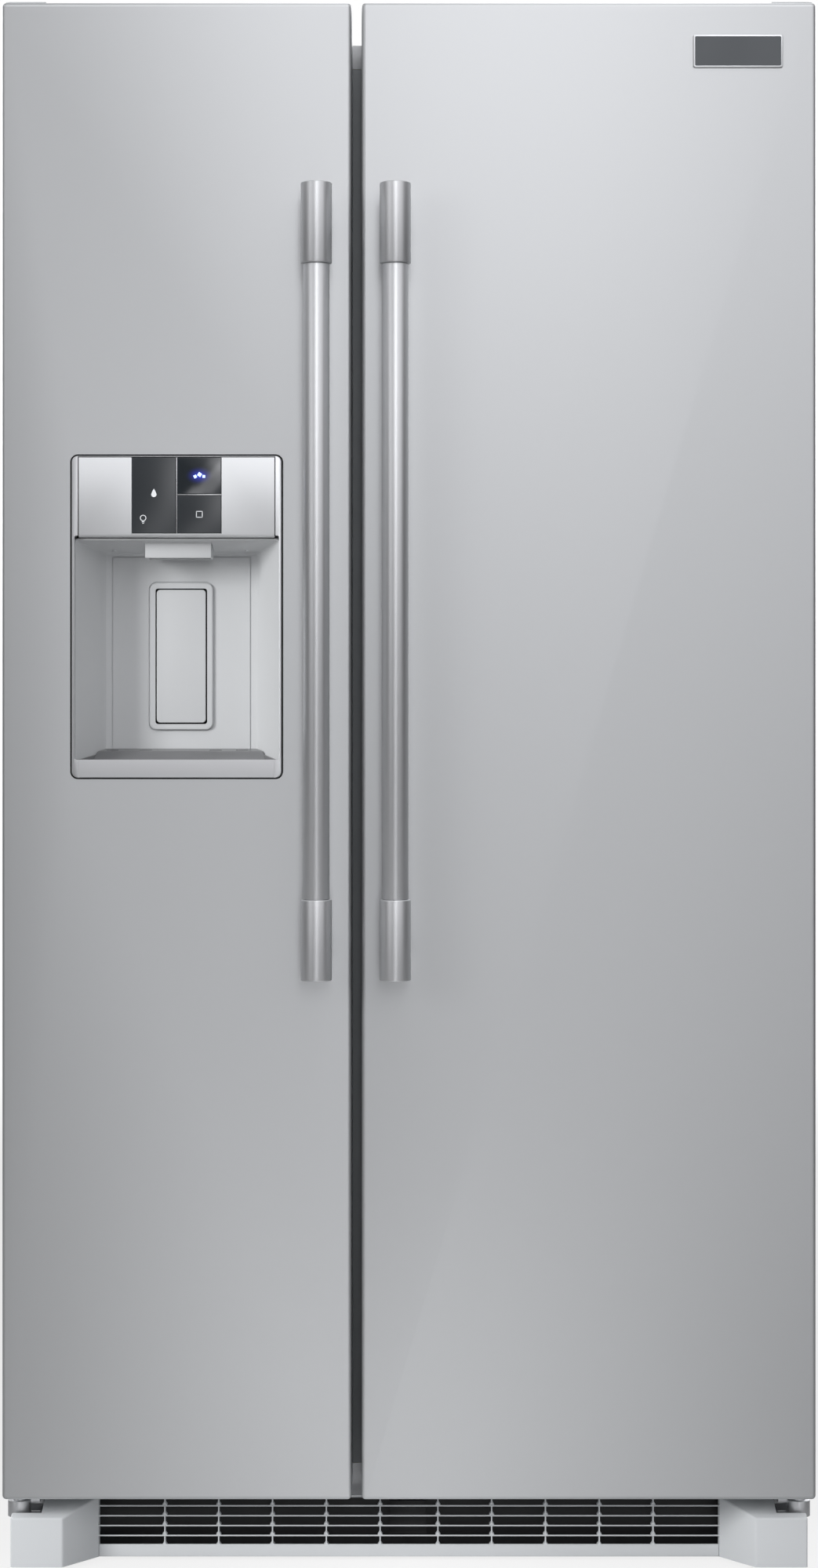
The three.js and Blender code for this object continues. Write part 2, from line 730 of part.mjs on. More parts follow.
function doorBin(door, z0) {
  const d = dikeFrame(door);
  const inset = dikeWidth + 1;
  return tub(d.x0 + inset, d.x1 - inset, doorBack + 0.5, binFace, z0, z0 + binHeight, binWall);
}

// ---------------------------------------------------------------- handles
function handlePost() {
  const body = rod(postRadius, 0, 0, 0, postLength, 32);
  return body.add(rodY(11, 0, 0, handleStandoff - gap, postLength / 2, 20));
}

function addHandle(parent, name, x) {
  const low = doorBottom + handleLowPost;
  const high = low + handleSpan - postLength;
  const y = doorFace - handleStandoff;
  const lower = mesh(parent, name + "_post_lower", handlePost(), polished);
  lower.position.set(x, y, low);
  const upper = mesh(parent, name + "_post_upper", handlePost(), polished);
  upper.position.set(x, y, high);
  const barLength = high - low - postLength - 2 * gap;
  const bar = mesh(parent, name + "_bar", rod(barRadius, 0, 0, 0, barLength, 32), polished);
  bar.position.set(x, y, low + postLength + gap);
}

// ---------------------------------------------------------------- dispenser
const dispenserX = (freezerDoor.x0 + freezerDoor.x1) / 2;
const bezelLow = doorBottom + bezelBase;
const bezelHigh = bezelLow + bezelHeight;
const fasciaLow = bezelHigh - fasciaHeight;
const bezelBack = doorFace - bezelProud + bezelDepth;
const lipTop = bezelLow + bezelLip;
const cavityHalf = bezelWidth / 2 - bezelRim;
const cavityBack = doorFace + cavityDepth;
const fasciaHalf = bezelWidth / 2 - fasciaInset;
const fasciaTop = bezelHigh - 1.4;
const chuteInlet = dikeFace + 8;
const chuteLow = fasciaLow - chuteDrop;
const pocketHalf = paddleWidth / 2 + 1;
const paddleLow = lipTop + paddleBase;
const paddleHigh = paddleLow + paddleHeight;
const bulge = { z0: bezelLow - bulgeMargin, z1: bezelHigh + 82 };

function bezel() {
  const [x0, x1] = [dispenserX - bezelWidth / 2, dispenserX + bezelWidth / 2];
  const y0 = doorFace - bezelProud;
  const side = fasciaHalf + gap;
  return prismY(roundedRect(x0, x1, bezelLow, bezelHigh, bezelCorner), y0, bezelBack)
    .subtract(
      box(dispenserX - cavityHalf, dispenserX + cavityHalf, y0 - 1, bezelBack + 1, lipTop, fasciaLow - gap),
    )
    .subtract(
      box(dispenserX - side, dispenserX + side, y0 - 1, bezelBack + 1, fasciaLow - gap - 1, fasciaTop + gap),
    );
}

// Places of the three keys: the water key on the left, the two ice keys stacked on the right.
function keyPlaces() {
  const half = keyPanelWidth / 2;
  const rib = keyDivider / 2 + keyGap;
  const low = fasciaLow + keyPanelBase + keyGap;
  const high = fasciaTop - keyGap;
  const middle = fasciaLow + keyPanelBase + (fasciaHeight - keyPanelBase) / 2;
  const [left, right] = [dispenserX - half + keyGap, dispenserX + half - keyGap];
  return {
    button_water: [left, dispenserX - rib, low, high],
    button_crush: [dispenserX + rib, right, middle + rib, high],
    button_cube: [dispenserX + rib, right, low, middle - rib],
  };
}

function fascia() {
  const half = keyPanelWidth / 2;
  const y0 = doorFace - 1;
  const floor = y0 + keyThickness + keyTravel + 1.5;
  const low = fasciaLow + keyPanelBase;
  const middle = low + (fasciaHeight - keyPanelBase) / 2;
  const rib = keyDivider / 2;
  return box(dispenserX - fasciaHalf, dispenserX + fasciaHalf, y0, floor + 4, fasciaLow, fasciaTop)
    .subtract(box(dispenserX - half, dispenserX + half, y0 - 1, floor, low, fasciaTop + 1))
    .add(box(dispenserX - rib, dispenserX + rib, y0 + 0.4, floor + 1, low - 1, fasciaTop))
    .add(box(dispenserX, dispenserX + half + 1, y0 + 0.4, floor + 1, middle - rib, middle + rib));
}

const keySolid = ([x0, x1, z0, z1]) =>
  prismY(roundedRect(x0, x1, z0, z1, 0.8), doorFace - 1, doorFace - 1 + keyThickness, 1);

function cavityTaper(grow, frontY, backY) {
  const half = cavityHalf - 0.3;
  const backHalf = cavityBackWidth / 2;
  const ceiling = fasciaLow - 2.7;
  const low = bezelLow + 2.4;
  const face = (x, z1, y) => ({
    x0: dispenserX - x - grow,
    x1: dispenserX + x + grow,
    z0: low - grow,
    z1: z1 + grow,
    y,
  });
  return taper(face(half, ceiling, frontY), face(backHalf, ceiling - cavityBackDrop, backY));
}

function dispenserHousing() {
  const front = bezelBack + gap;
  const t = mould;
  const x = dispenserX;
  const pocketBack = cavityBack + paddleSwingDepth;
  const [low, high] = [paddleLow - 1.2, paddleHigh + 1.5];
  const rim = surroundRim;
  return cavityTaper(t, front, cavityBack + t)
    .add(box(x - pocketHalf - t, x + pocketHalf + t, cavityBack, pocketBack + t, low - t, high + t))
    .subtract(cavityTaper(0, front - 0.01, cavityBack))
    .add(
      box(x - pocketHalf - rim, x + pocketHalf + rim, cavityBack - 4, cavityBack + 1, low - rim, high + rim),
    )
    .subtract(box(x - pocketHalf, x + pocketHalf, cavityBack - 5, pocketBack, low, high))
    .subtract(
      box(
        x - chuteWidth / 2 - 0.5,
        x + chuteWidth / 2 + 0.5,
        doorFace + chuteBehind - 0.5,
        doorFace + chuteBehind + chuteDepth + 0.5,
        fasciaLow - 30,
        fasciaLow + 20,
      ),
    );
}

function iceChute() {
  const front = doorFace + chuteBehind;
  const back = front + chuteDepth;
  const half = chuteWidth / 2;
  const t = mould;
  const outer = outline([
    [front, chuteLow],
    [back, chuteLow],
    [back, chuteLow + 76],
    [chuteInlet, chuteLow + 123],
    [chuteInlet, chuteLow + 183],
    [front, chuteLow + 123],
  ]);
  const inner = outline([
    [front + t, chuteLow - 1],
    [back - t, chuteLow - 1],
    [back - t, chuteLow + 77],
    [chuteInlet + 1, chuteLow + 126],
    [chuteInlet + 1, chuteLow + 181],
    [front + t, chuteLow + 122],
  ]);
  return prismX(outer, dispenserX - half, dispenserX + half).subtract(
    prismX(inner, dispenserX - half + t, dispenserX + half - t),
  );
}

function paddle() {
  const half = paddleWidth / 2;
  const y0 = cavityBack - 6;
  return prismY(
    roundedRect(dispenserX - half, dispenserX + half, paddleLow, paddleHigh, 2),
    y0,
    y0 + paddleThickness,
  );
}

// A tray that narrows to the back with the cavity.
function dripTray() {
  const z0 = bezelLow + 3;
  const y0 = bezelBack + 0.8;
  const y1 = cavityBack - 1;
  const halfAt = (y) =>
    cavityHalf - ((cavityHalf - cavityBackWidth / 2) * (y - bezelBack)) / (cavityBack - bezelBack) - 1.3;
  const plan = (inset) => {
    const [a, b] = [y0 + inset, y1 - inset];
    const [fa, fb] = [halfAt(a) - inset, halfAt(b) - inset];
    return outline([
      [dispenserX - fa, a],
      [dispenserX + fa, a],
      [dispenserX + fb, b],
      [dispenserX - fb, b],
    ]);
  };
  const top = lipTop - 0.5;
  const profile = outline([[y0, z0], [y1, z0], [y1, top + 9], [y0, top]]);
  return prismZ(plan(0), z0, top + 10)
    .intersect(prismX(profile, dispenserX - cavityHalf, dispenserX + cavityHalf))
    .subtract(prismZ(plan(mould), z0 + mould, top + 11));
}

// ---------------------------------------------------------------- assembly
function addDoor(root, door, name, handleX, liner, skin) {
  const group = new THREE.Group();
  root.add(group);
  mesh(group, name + "_door_skin", skin, brushed);
  mesh(group, name + "_door_liner", liner, whitePlastic);
  mesh(group, name + "_door_cap_top", doorCap(door, true), greyPlastic);
  mesh(group, name + "_door_cap_bottom", doorCap(door, false), greyPlastic);
  mesh(group, name + "_door_gasket", gasket(door), sealRubber);
  addHandle(group, name + "_handle", handleX);
  return group;
}

const refrigerator = new THREE.Group();

mesh(refrigerator, "cabinet_shell", cabinetShell(), painted);
mesh(refrigerator, "cabinet_foam", cabinetFoam(), foam);
mesh(
  refrigerator,
  "mullion_strip",
  box(
    splitX - centreWall / 2,
    splitX + centreWall / 2,
    cabinetFront,
    cabinetFront + sheet,
    cabinetFloor + bottomFlange + gap,
    cabinetTop - topFlange - gap,
  ),
  darkPaint,
);
mesh(refrigerator, "freezer_liner", cabinetLiner(freezerRoom), whitePlastic);
mesh(refrigerator, "fridge_liner", cabinetLiner(fridgeRoom), whitePlastic);
mesh(refrigerator, "rear_panel", rearPanel(), zinc);
mesh(refrigerator, "base_frame", baseFrame(), zinc);
mesh(refrigerator, "toe_grille", toeGrille(), silverPlastic);
mesh(refrigerator, "compressor", compressor(), blackMetal);
mesh(refrigerator, "condenser_fan", condenserFan(), greyPlastic);
mesh(refrigerator, "rear_rollers", rearRollers(), greyPlastic);
for (const [side, word] of [[-1, "left"], [1, "right"]]) {
  const wheel = roller(frontWheelRadius, frontWheelRadius + 0.5);
  mesh(refrigerator, "front_roller_" + word, wheel, greyPlastic).position.set(
    side * wheelX,
    frontWheelY,
    0,
  );
  const leg = mesh(refrigerator, "levelling_leg_" + word, levellingLeg(), zinc);
  leg.position.set(side * legX, legY, 0);
}
for (const [door, name] of [[freezerDoor, "freezer"], [fridgeDoor, "fridge"]]) {
  mesh(refrigerator, "upper_hinge_" + name, upperHinge(door), zinc);
  mesh(refrigerator, "lower_hinge_" + name, lowerHinge(door), zinc);
  mesh(refrigerator, "hinge_cover_" + name, hingeCover(door), greyPlastic);
}

mesh(refrigerator, "fridge_shelf_upper", shelf(fridgeRoom, 960, linerBack - 2), clearPlastic);
mesh(refrigerator, "fridge_shelf_lower", shelf(fridgeRoom, coverShelf, stepBack - 2), clearPlastic);
mesh(refrigerator, "freezer_shelf", shelf(freezerRoom, bucketShelf, linerBack - 2), clearPlastic);
mesh(refrigerator, "crisper_drawer", drawer(fridgeRoom, linerFloor + 1, crisperTop, 180), clearPlastic);
mesh(
  refrigerator,
  "deli_drawer",
  drawer(fridgeRoom, coverShelf + shelfHeight + gap, deliTop, 150),
  clearPlastic,
);
mesh(refrigerator, "freezer_basket", drawer(freezerRoom, linerFloor + 1, 320, 120), whitePlastic);
mesh(refrigerator, "ice_bucket", iceBucket(), clearPlastic);
mesh(refrigerator, "ice_maker", iceMaker(), whitePlastic);

const fridgeDike = dikeFrame(fridgeDoor);
const fridgeRecess = [[fridgeDike.z0 + dikeWidth, fridgeDike.z1 - dikeWidth]];
const freezerDike = dikeFrame(freezerDoor);
const freezerRecesses = [
  [freezerDike.z0 + dikeWidth, bulge.z0],
  [bulge.z1, freezerDike.z1 - dikeWidth],
];
const chutePort = box(
  dispenserX - chuteWidth / 2 - 0.5,
  dispenserX + chuteWidth / 2 + 0.5,
  dikeFace - mould - 2,
  dikeFace + 1,
  chuteLow + 112,
  chuteLow + 184,
);
const bezelCut = prismY(
  roundedRect(
    dispenserX - bezelWidth / 2 - 0.8,
    dispenserX + bezelWidth / 2 + 0.8,
    bezelLow - 0.8,
    bezelHigh + 0.8,
    bezelCorner + 0.8,
  ),
  doorFace - 1,
  doorFace + sheet + 1,
);

const freezerGroup = addDoor(
  refrigerator,
  freezerDoor,
  "freezer",
  freezerDoor.x1 - handleInset,
  doorLiner(freezerDoor, freezerRecesses).subtract(chutePort),
  doorSkin(freezerDoor).subtract(bezelCut),
);
mesh(freezerGroup, "dispenser_housing", dispenserHousing(), silverPlastic);
mesh(freezerGroup, "dispenser_bezel", bezel(), polished);
mesh(freezerGroup, "dispenser_fascia", fascia(), brushed);
for (const [name, place] of Object.entries(keyPlaces())) {
  mesh(freezerGroup, name, keySolid(place), blackGlass);
}
mesh(freezerGroup, "ice_chute", iceChute(), silverPlastic);
mesh(freezerGroup, "dispenser_paddle", paddle(), silverPlastic);
mesh(freezerGroup, "drip_tray", dripTray(), greyPlastic);
mesh(freezerGroup, "freezer_door_bin_upper", doorBin(freezerDoor, 1540), clearPlastic);
mesh(freezerGroup, "freezer_door_bin_lower", doorBin(freezerDoor, 560), clearPlastic);

const fridgeGroup = addDoor(
  refrigerator,
  fridgeDoor,
  "fridge",
  fridgeDoor.x0 + handleInset,
  doorLiner(fridgeDoor, fridgeRecess),
  doorSkin(fridgeDoor),
);
for (const [word, z] of [["lower", 170], ["middle", 640], ["upper", 1150]])
  mesh(fridgeGroup, "fridge_door_bin_" + word, doorBin(fridgeDoor, z), clearPlastic);

// Blank name plate on the fridge door.
const badgeRight = 37.2; // plate to the door's outer side
const badgeBelow = 36.3; // plate to the door's top
const badgeWidth = 100.4;
const badgeHeight = 36.9;
mesh(
  fridgeGroup,
  "badge",
  prismY(
    roundedRect(
      fridgeDoor.x1 - badgeRight - badgeWidth,
      fridgeDoor.x1 - badgeRight,
      doorTop - badgeBelow - badgeHeight,
      doorTop - badgeBelow,
      2,
    ),
    doorFace - 2.3,
    doorFace - gap,
  ),
  polished,
);

export default refrigerator;
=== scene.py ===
"""A side by side refrigerator with a water and ice dispenser, detailed around its CAD frame.

Lengths are metres, +Z is up, the doors face -Y, and +X is to the right seen from the front.
"""
import math

import bmesh
import bpy
from bpy.props import FloatProperty, FloatVectorProperty, IntProperty, PointerProperty
from mathutils import Matrix, Vector


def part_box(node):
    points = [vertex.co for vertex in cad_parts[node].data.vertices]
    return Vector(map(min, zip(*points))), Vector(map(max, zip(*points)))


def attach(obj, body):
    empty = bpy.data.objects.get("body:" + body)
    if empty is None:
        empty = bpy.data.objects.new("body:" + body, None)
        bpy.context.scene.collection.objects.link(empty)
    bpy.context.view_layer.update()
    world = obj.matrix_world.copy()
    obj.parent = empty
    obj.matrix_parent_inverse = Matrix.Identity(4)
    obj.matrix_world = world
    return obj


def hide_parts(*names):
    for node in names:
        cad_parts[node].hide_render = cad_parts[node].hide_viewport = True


bl_info = {
    "name": "Side by Side Refrigerator",
    "version": (1, 0, 0),
    "blender": (4, 5, 0),
    "location": "View3D > Sidebar > Refrigerator",
    "description": "Builds the detailed refrigerator, its finishes and its studio, one piece at a time",
    "category": "Object",
}

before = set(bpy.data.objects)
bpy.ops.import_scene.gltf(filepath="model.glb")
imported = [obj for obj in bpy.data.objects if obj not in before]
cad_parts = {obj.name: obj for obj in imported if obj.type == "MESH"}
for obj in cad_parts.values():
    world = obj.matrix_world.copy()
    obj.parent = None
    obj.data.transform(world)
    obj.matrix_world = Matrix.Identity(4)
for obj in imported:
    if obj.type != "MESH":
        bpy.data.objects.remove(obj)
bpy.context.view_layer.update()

MM = 0.001
X, Y, Z = 0, 1, 2
DOORS = ("freezer", "fridge")
LENGTH = {"min": 0, "subtype": "DISTANCE", "unit": "LENGTH"}
COLOUR = {"min": 0, "max": 1, "subtype": "COLOR"}


def mm(x, y, z):
    return Vector((x * MM, y * MM, z * MM))


def low_high(node):
    """The two corners of a CAD node's box."""
    low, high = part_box(node)
    return Vector(low), Vector(high)


def middle(node):
    low, high = low_high(node)
    return (low + high) / 2


# ---------------------------------------------------------------- modelling
def lone(obj):
    """Leave obj as the only selected object, in object mode."""
    if bpy.context.object and bpy.context.object.mode != "OBJECT":
        object_mode()
    bpy.ops.object.select_all(action="DESELECT")
    obj.select_set(True)
    bpy.context.view_layer.objects.active = obj
    return obj


def object_mode():
    bpy.ops.object.mode_set(mode="OBJECT")


def edit_all(obj):
    """Enter edit mode on obj with all of it selected."""
    lone(obj)
    bpy.ops.object.mode_set(mode="EDIT")
    bpy.ops.mesh.select_all(action="SELECT")


def placed(obj):
    """Move the object's place, turn and scale into its mesh."""
    lone(obj)
    bpy.ops.object.transform_apply(location=True, rotation=True, scale=True)
    return obj


def settled(name):
    """Name the new primitive and move its place into its mesh."""
    obj = bpy.context.object
    obj.name = obj.data.name = name
    return placed(obj)


def block(name, low, high):
    low, high = Vector(low), Vector(high)
    bpy.ops.object.select_all(action="DESELECT")
    bpy.ops.mesh.primitive_cube_add(size=1, location=(low + high) / 2, scale=high - low)
    return settled(name)


def across(name, x, half, y, z):
    """A block of width 2 * half about x, between the pairs y and z."""
    return block(name, (x - half, y[0], z[0]), (x + half, y[1], z[1]))


def rod(name, radius, start, end, sides=48):
    """A round bar from start to end."""
    start, end = Vector(start), Vector(end)
    reach = end - start
    bpy.ops.object.select_all(action="DESELECT")
    bpy.ops.mesh.primitive_cone_add(
        vertices=sides, radius1=radius, radius2=radius, depth=reach.length,
        location=(start + end) / 2, rotation=reach.to_track_quat("Z", "Y").to_euler(),
    )
    return settled(name)


def choose(obj, kind, test):
    """Enter edit mode on obj with only the faces or edges selected that pass the test."""
    lone(obj)
    bpy.ops.object.mode_set(mode="EDIT")
    bpy.ops.mesh.select_mode(type=kind)
    bpy.ops.mesh.select_all(action="DESELECT")
    shape = bmesh.from_edit_mesh(obj.data)
    for part in shape.faces if kind == "FACE" else shape.edges:
        if test(part):
            part.select_set(True)
    bmesh.update_edit_mesh(obj.data)


def runs(axis):
    return lambda edge: abs((edge.verts[1].co - edge.verts[0].co).normalized()[axis]) > 0.999


def lies(axis, value, slack=2e-5):
    return lambda edge: all(abs(v.co[axis] - value) < slack for v in edge.verts)


def faces_to(axis, sign):
    return lambda face: face.normal[axis] * sign > 0.99


def every(*tests):
    return lambda part: all(test(part) for test in tests)


def either(*tests):
    return lambda part: any(test(part) for test in tests)


def folded(edge, angle=math.radians(35)):
    return edge.is_manifold and edge.calc_face_angle(0) > angle


def round_edges(obj, width, segments, test):
    choose(obj, "EDGE", test)
    bpy.ops.mesh.bevel(offset=width, offset_type="OFFSET", segments=segments, affect="EDGES")
    object_mode()
    return obj


def rounded(obj, corner, segments=8):
    """Round the four edges of a block that run along Y."""
    return round_edges(obj, corner, segments, runs(Y))


def rounded_plate(name, low, high, corner, segments=8):
    return rounded(block(name, low, high), corner, segments)


def open_faces(obj, test):
    """Take away the faces that pass the test."""
    choose(obj, "FACE", test)
    bpy.ops.mesh.delete(type="FACE")
    object_mode()


def slice_at(obj, places):
    """Cut the whole surface across Y at each of the places."""
    edit_all(obj)
    for place in places:
        bpy.ops.mesh.select_all(action="SELECT")
        bpy.ops.mesh.bisect(plane_co=(0, place, 0), plane_no=(0, 1, 0))
    object_mode()


def reshape(obj, move):
    """Give every vertex the place that move makes of its own."""
    edit_all(obj)
    shape = bmesh.from_edit_mesh(obj.data)
    for vertex in shape.verts:
        vertex.co = move(vertex.co)
    bmesh.update_edit_mesh(obj.data)
    object_mode()


def apply_modifier(obj, kind, **settings):
    lone(obj)
    modifier = obj.modifiers.new("finish", kind)
    for key, value in settings.items():
        setattr(modifier, key, value)
    bpy.ops.object.modifier_apply(modifier=modifier.name)
    return obj


def soften(obj, width, segments=2):
    """Round every edge sharper than 38 degrees."""
    return apply_modifier(
        obj, "BEVEL", width=width, segments=segments, limit_method="ANGLE",
        angle_limit=math.radians(38), use_clamp_overlap=True,
    )


def walled(obj, thickness, offset=-1, even=True):
    """Give an open sheet its thickness."""
    return apply_modifier(obj, "SOLIDIFY", thickness=thickness, offset=offset, use_even_offset=even)


def combine(obj, others, operation):
    """Cut the others from obj, or weld them to it, and use them up."""
    for other in others:
        apply_modifier(obj, "BOOLEAN", object=other, operation=operation, solver="EXACT")
        bpy.data.objects.remove(other)
    return obj


def cut(obj, *tools):
    return combine(obj, tools, "DIFFERENCE")


def weld(obj, *others):
    return combine(obj, others, "UNION")


def join(name, parts):
    """Gather loose parts of one piece into one mesh."""
    first = lone(parts[0])
    for part in parts[1:]:
        part.select_set(True)
    bpy.ops.object.join()
    first.name = name
    return first


def linked(name, data):
    obj = bpy.data.objects.new(name, data)
    bpy.context.scene.collection.objects.link(obj)
    return obj


def mirrored(obj, name):
    """The same piece on the other side of x = 0."""
    obj.name = obj.data.name = name
    obj.scale.x = -1
    edit_all(placed(obj))
    bpy.ops.mesh.normals_make_consistent(inside=False)
    object_mode()
    return obj


def node_copy(node, name):
    """A merged copy of a CAD node's mesh, with its flat faces whole again."""
    obj = linked(name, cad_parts[node].data.copy())
    obj.data.name = name
    edit_all(obj)
    bpy.ops.mesh.remove_doubles(threshold=0.00002)
    bpy.ops.mesh.dissolve_limited(angle_limit=math.radians(0.6))
    object_mode()
    return obj


def bent(points, bend, steps=6):
    """A line of points with an arc, that starts and ends a bend away, at each inner point."""
    path = [points[0]]
    for before, corner, after in zip(points, points[1:], points[2:]):
        start = corner + (before - corner).normalized() * bend
        end = corner + (after - corner).normalized() * bend
        for step in range(steps + 1):
            t = step / steps
            path.append(start * (1 - t) ** 2 + corner * 2 * t * (1 - t) + end * t ** 2)
    return path + [points[-1]]


def tube(name, points, radius, bend=0.0):
    """A round pipe through a line of points."""
    path = [Vector(point) for point in points]
    if bend:
        path = bent(path, bend)
    curve = bpy.data.curves.new(name, "CURVE")
    curve.dimensions = "3D"
    line = curve.splines.new("POLY")
    line.points.add(len(path) - 1)
    for point, place in zip(line.points, path):
        point.co = (*place, 1)
    curve.bevel_depth = radius
    curve.bevel_resolution = 2
    curve.use_fill_caps = True
    lone(linked(name, curve))
    bpy.ops.object.convert(target="MESH")
    return bpy.context.view_layer.objects.active


def complete(obj, body, slot, finish=None, stands_for=(), smooth=32):
    """Shade the finished piece, give it its finish, and tie it to its body."""
    lone(obj)
    bpy.ops.object.shade_smooth_by_angle(angle=math.radians(smooth))
    obj.data.materials.clear()
    obj.data.materials.append(bpy.data.materials[finish or slot])
    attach(obj, body)
    if stands_for:
        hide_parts(*stands_for)
    return obj


def softened(node, name, body, slot, width, segments=2):
    """A CAD node's own shape with moulded or folded edges instead of sharp ones."""
    obj = soften(node_copy(node, name), width * MM, segments)
    return complete(obj, body, slot, stands_for=(node,))


# ---------------------------------------------------------------- finishes
FLOAT = "NodeSocketFloat"
VECTOR = "NodeSocketVector"
GRAIN = {"Tone": FLOAT, "Roughness": FLOAT, "Height": FLOAT}


def feed(tree, socket, value):
    """Set a socket, or link another node's output to it."""
    if isinstance(value, bpy.types.NodeSocket):
        tree.links.new(value, socket)
    else:
        socket.default_value = value


def shader_node(tree, kind, inputs=None, **settings):
    """A new node, with its inputs set or linked by their names or numbers."""
    made = tree.nodes.new("ShaderNode" + kind)
    for key, value in settings.items():
        setattr(made, key, value)
    for key, value in (inputs or {}).items():
        feed(tree, made.inputs[key], value)
    return made


def new_group(name, inputs, outputs):
    """An empty shader group with the named inputs, {name: default}, and outputs."""
    group = bpy.data.node_groups.new(name, "ShaderNodeTree")
    group.interface.new_socket(name="Place", in_out="INPUT", socket_type=VECTOR)
    for label, default in inputs.items():
        group.interface.new_socket(name=label, in_out="INPUT", socket_type=FLOAT).default_value = default
    for label, kind in outputs.items():
        group.interface.new_socket(name=label, in_out="OUTPUT", socket_type=kind)
    return group, group.nodes.new("NodeGroupInput").outputs, group.nodes.new("NodeGroupOutput").inputs


def put_out(group, result, **values):
    for label, value in values.items():
        feed(group, result[label], value)


def level(tree, source, low, high, from_low=0.3, from_high=0.7):
    """Map a value on to a range."""
    ends = {"Value": source, "From Min": from_low, "From Max": from_high, "To Min": low, "To Max": high}
    return shader_node(tree, "MapRange", ends, clamp=True).outputs["Result"]


def noise(tree, place, **values):
    return shader_node(tree, "TexNoise", {"Vector": place, **values}).outputs["Fac"]


def arithmetic(tree, operation, first, second):
    return shader_node(tree, "Math", {0: first, 1: second}, operation=operation).outputs[0]


def vectors(tree, operation, first, second):
    return shader_node(tree, "VectorMath", {0: first, 1: second}, operation=operation).outputs[0]


def scaled(tree, colour, factor):
    return shader_node(tree, "VectorMath", {0: colour, "Scale": factor}, operation="SCALE").outputs[0]


def swung(tree, base, swing, amount):
    """base + swing * amount"""
    return arithmetic(tree, "ADD", arithmetic(tree, "MULTIPLY", swing, amount), base)


def brushing_group():
    """Fine parallel scratches along Z, with slow patches where the belt pressed harder."""
    group, given, result = new_group("brushed_grain", {
        "Lines": 900.0, "Length": 14.0, "Tone Change": 0.06, "Roughness": 0.32, "Roughness Change": 0.06,
    }, GRAIN)
    sizes = {"X": given["Lines"], "Y": given["Lines"], "Z": given["Length"]}
    stretch = shader_node(group, "CombineXYZ", sizes).outputs[0]
    stretched = vectors(group, "MULTIPLY", given["Place"], stretch)
    slow = noise(group, given["Place"], Scale=3.0, Detail=2.0)
    lines = level(group, noise(group, stretched, Scale=1.0, Detail=3.0, Roughness=0.7), 0.0, 1.0)
    bands = level(group, noise(group, stretched, Scale=0.11, Detail=2.0), 0.0, 1.0)
    patches = level(group, slow, 0.0, 1.0)
    mixed = {0: level(group, slow, 0.3, 0.5), 2: lines, 3: bands}
    marks = shader_node(group, "Mix", mixed, data_type="FLOAT").outputs[0]
    swing = arithmetic(group, "SUBTRACT", marks, 0.5)
    drift = arithmetic(group, "SUBTRACT", arithmetic(group, "ADD", marks, patches), 1.0)
    put_out(
        group, result, Height=lines,
        Tone=swung(group, 1.0, swing, given["Tone Change"]),
        Roughness=swung(group, given["Roughness"], drift, given["Roughness Change"]),
    )


def moulding_group():
    """The fine spark-eroded grain of moulded plastic, with slow flow marks."""
    group, given, result = new_group("moulded_grain", {
        "Grain": 1500.0, "Tone Change": 0.05, "Roughness": 0.45, "Roughness Change": 0.08,
    }, GRAIN)
    grain = noise(group, given["Place"], Scale=given["Grain"], Detail=2.0, Roughness=0.6)
    flow = noise(group, given["Place"], Scale=7.0, Detail=3.0)
    drift = level(group, flow, -0.5, 0.5)
    put_out(
        group, result, Height=level(group, grain, 0.0, 1.0),
        Tone=swung(group, 1.0, drift, given["Tone Change"]),
        Roughness=swung(group, given["Roughness"], drift, given["Roughness Change"]),
    )


def dust_group():
    """Dust that settles on faces that look up."""
    group, given, result = new_group("settled_dust", {"Amount": 0.4}, {"Mask": FLOAT})
    normal = shader_node(group, "NewGeometry").outputs["Normal"]
    up = shader_node(group, "SeparateXYZ", {0: normal}).outputs["Z"]
    upward = level(group, up, 0.0, 1.0, 0.5, 1.0)
    drifts = noise(group, given["Place"], Scale=22.0, Detail=5.0, Roughness=0.6)
    cover = arithmetic(group, "MULTIPLY", upward, level(group, drifts, 0.25, 1.0, 0.35, 0.65))
    put_out(group, result, Mask=arithmetic(group, "MULTIPLY", cover, given["Amount"]))


def handling_group():
    """Faint wiping and handling marks that change the gloss."""
    group, given, result = new_group(
        "handling_marks", {"Roughness": 0.3, "Amount": 0.05}, {"Roughness": FLOAT}
    )
    wiped = noise(group, given["Place"], Scale=5.0, Detail=4.0, Roughness=0.55, Distortion=1.2)
    marks = level(group, wiped, -0.5, 1.0, 0.4, 0.75)
    put_out(group, result, Roughness=swung(group, given["Roughness"], marks, given["Amount"]))


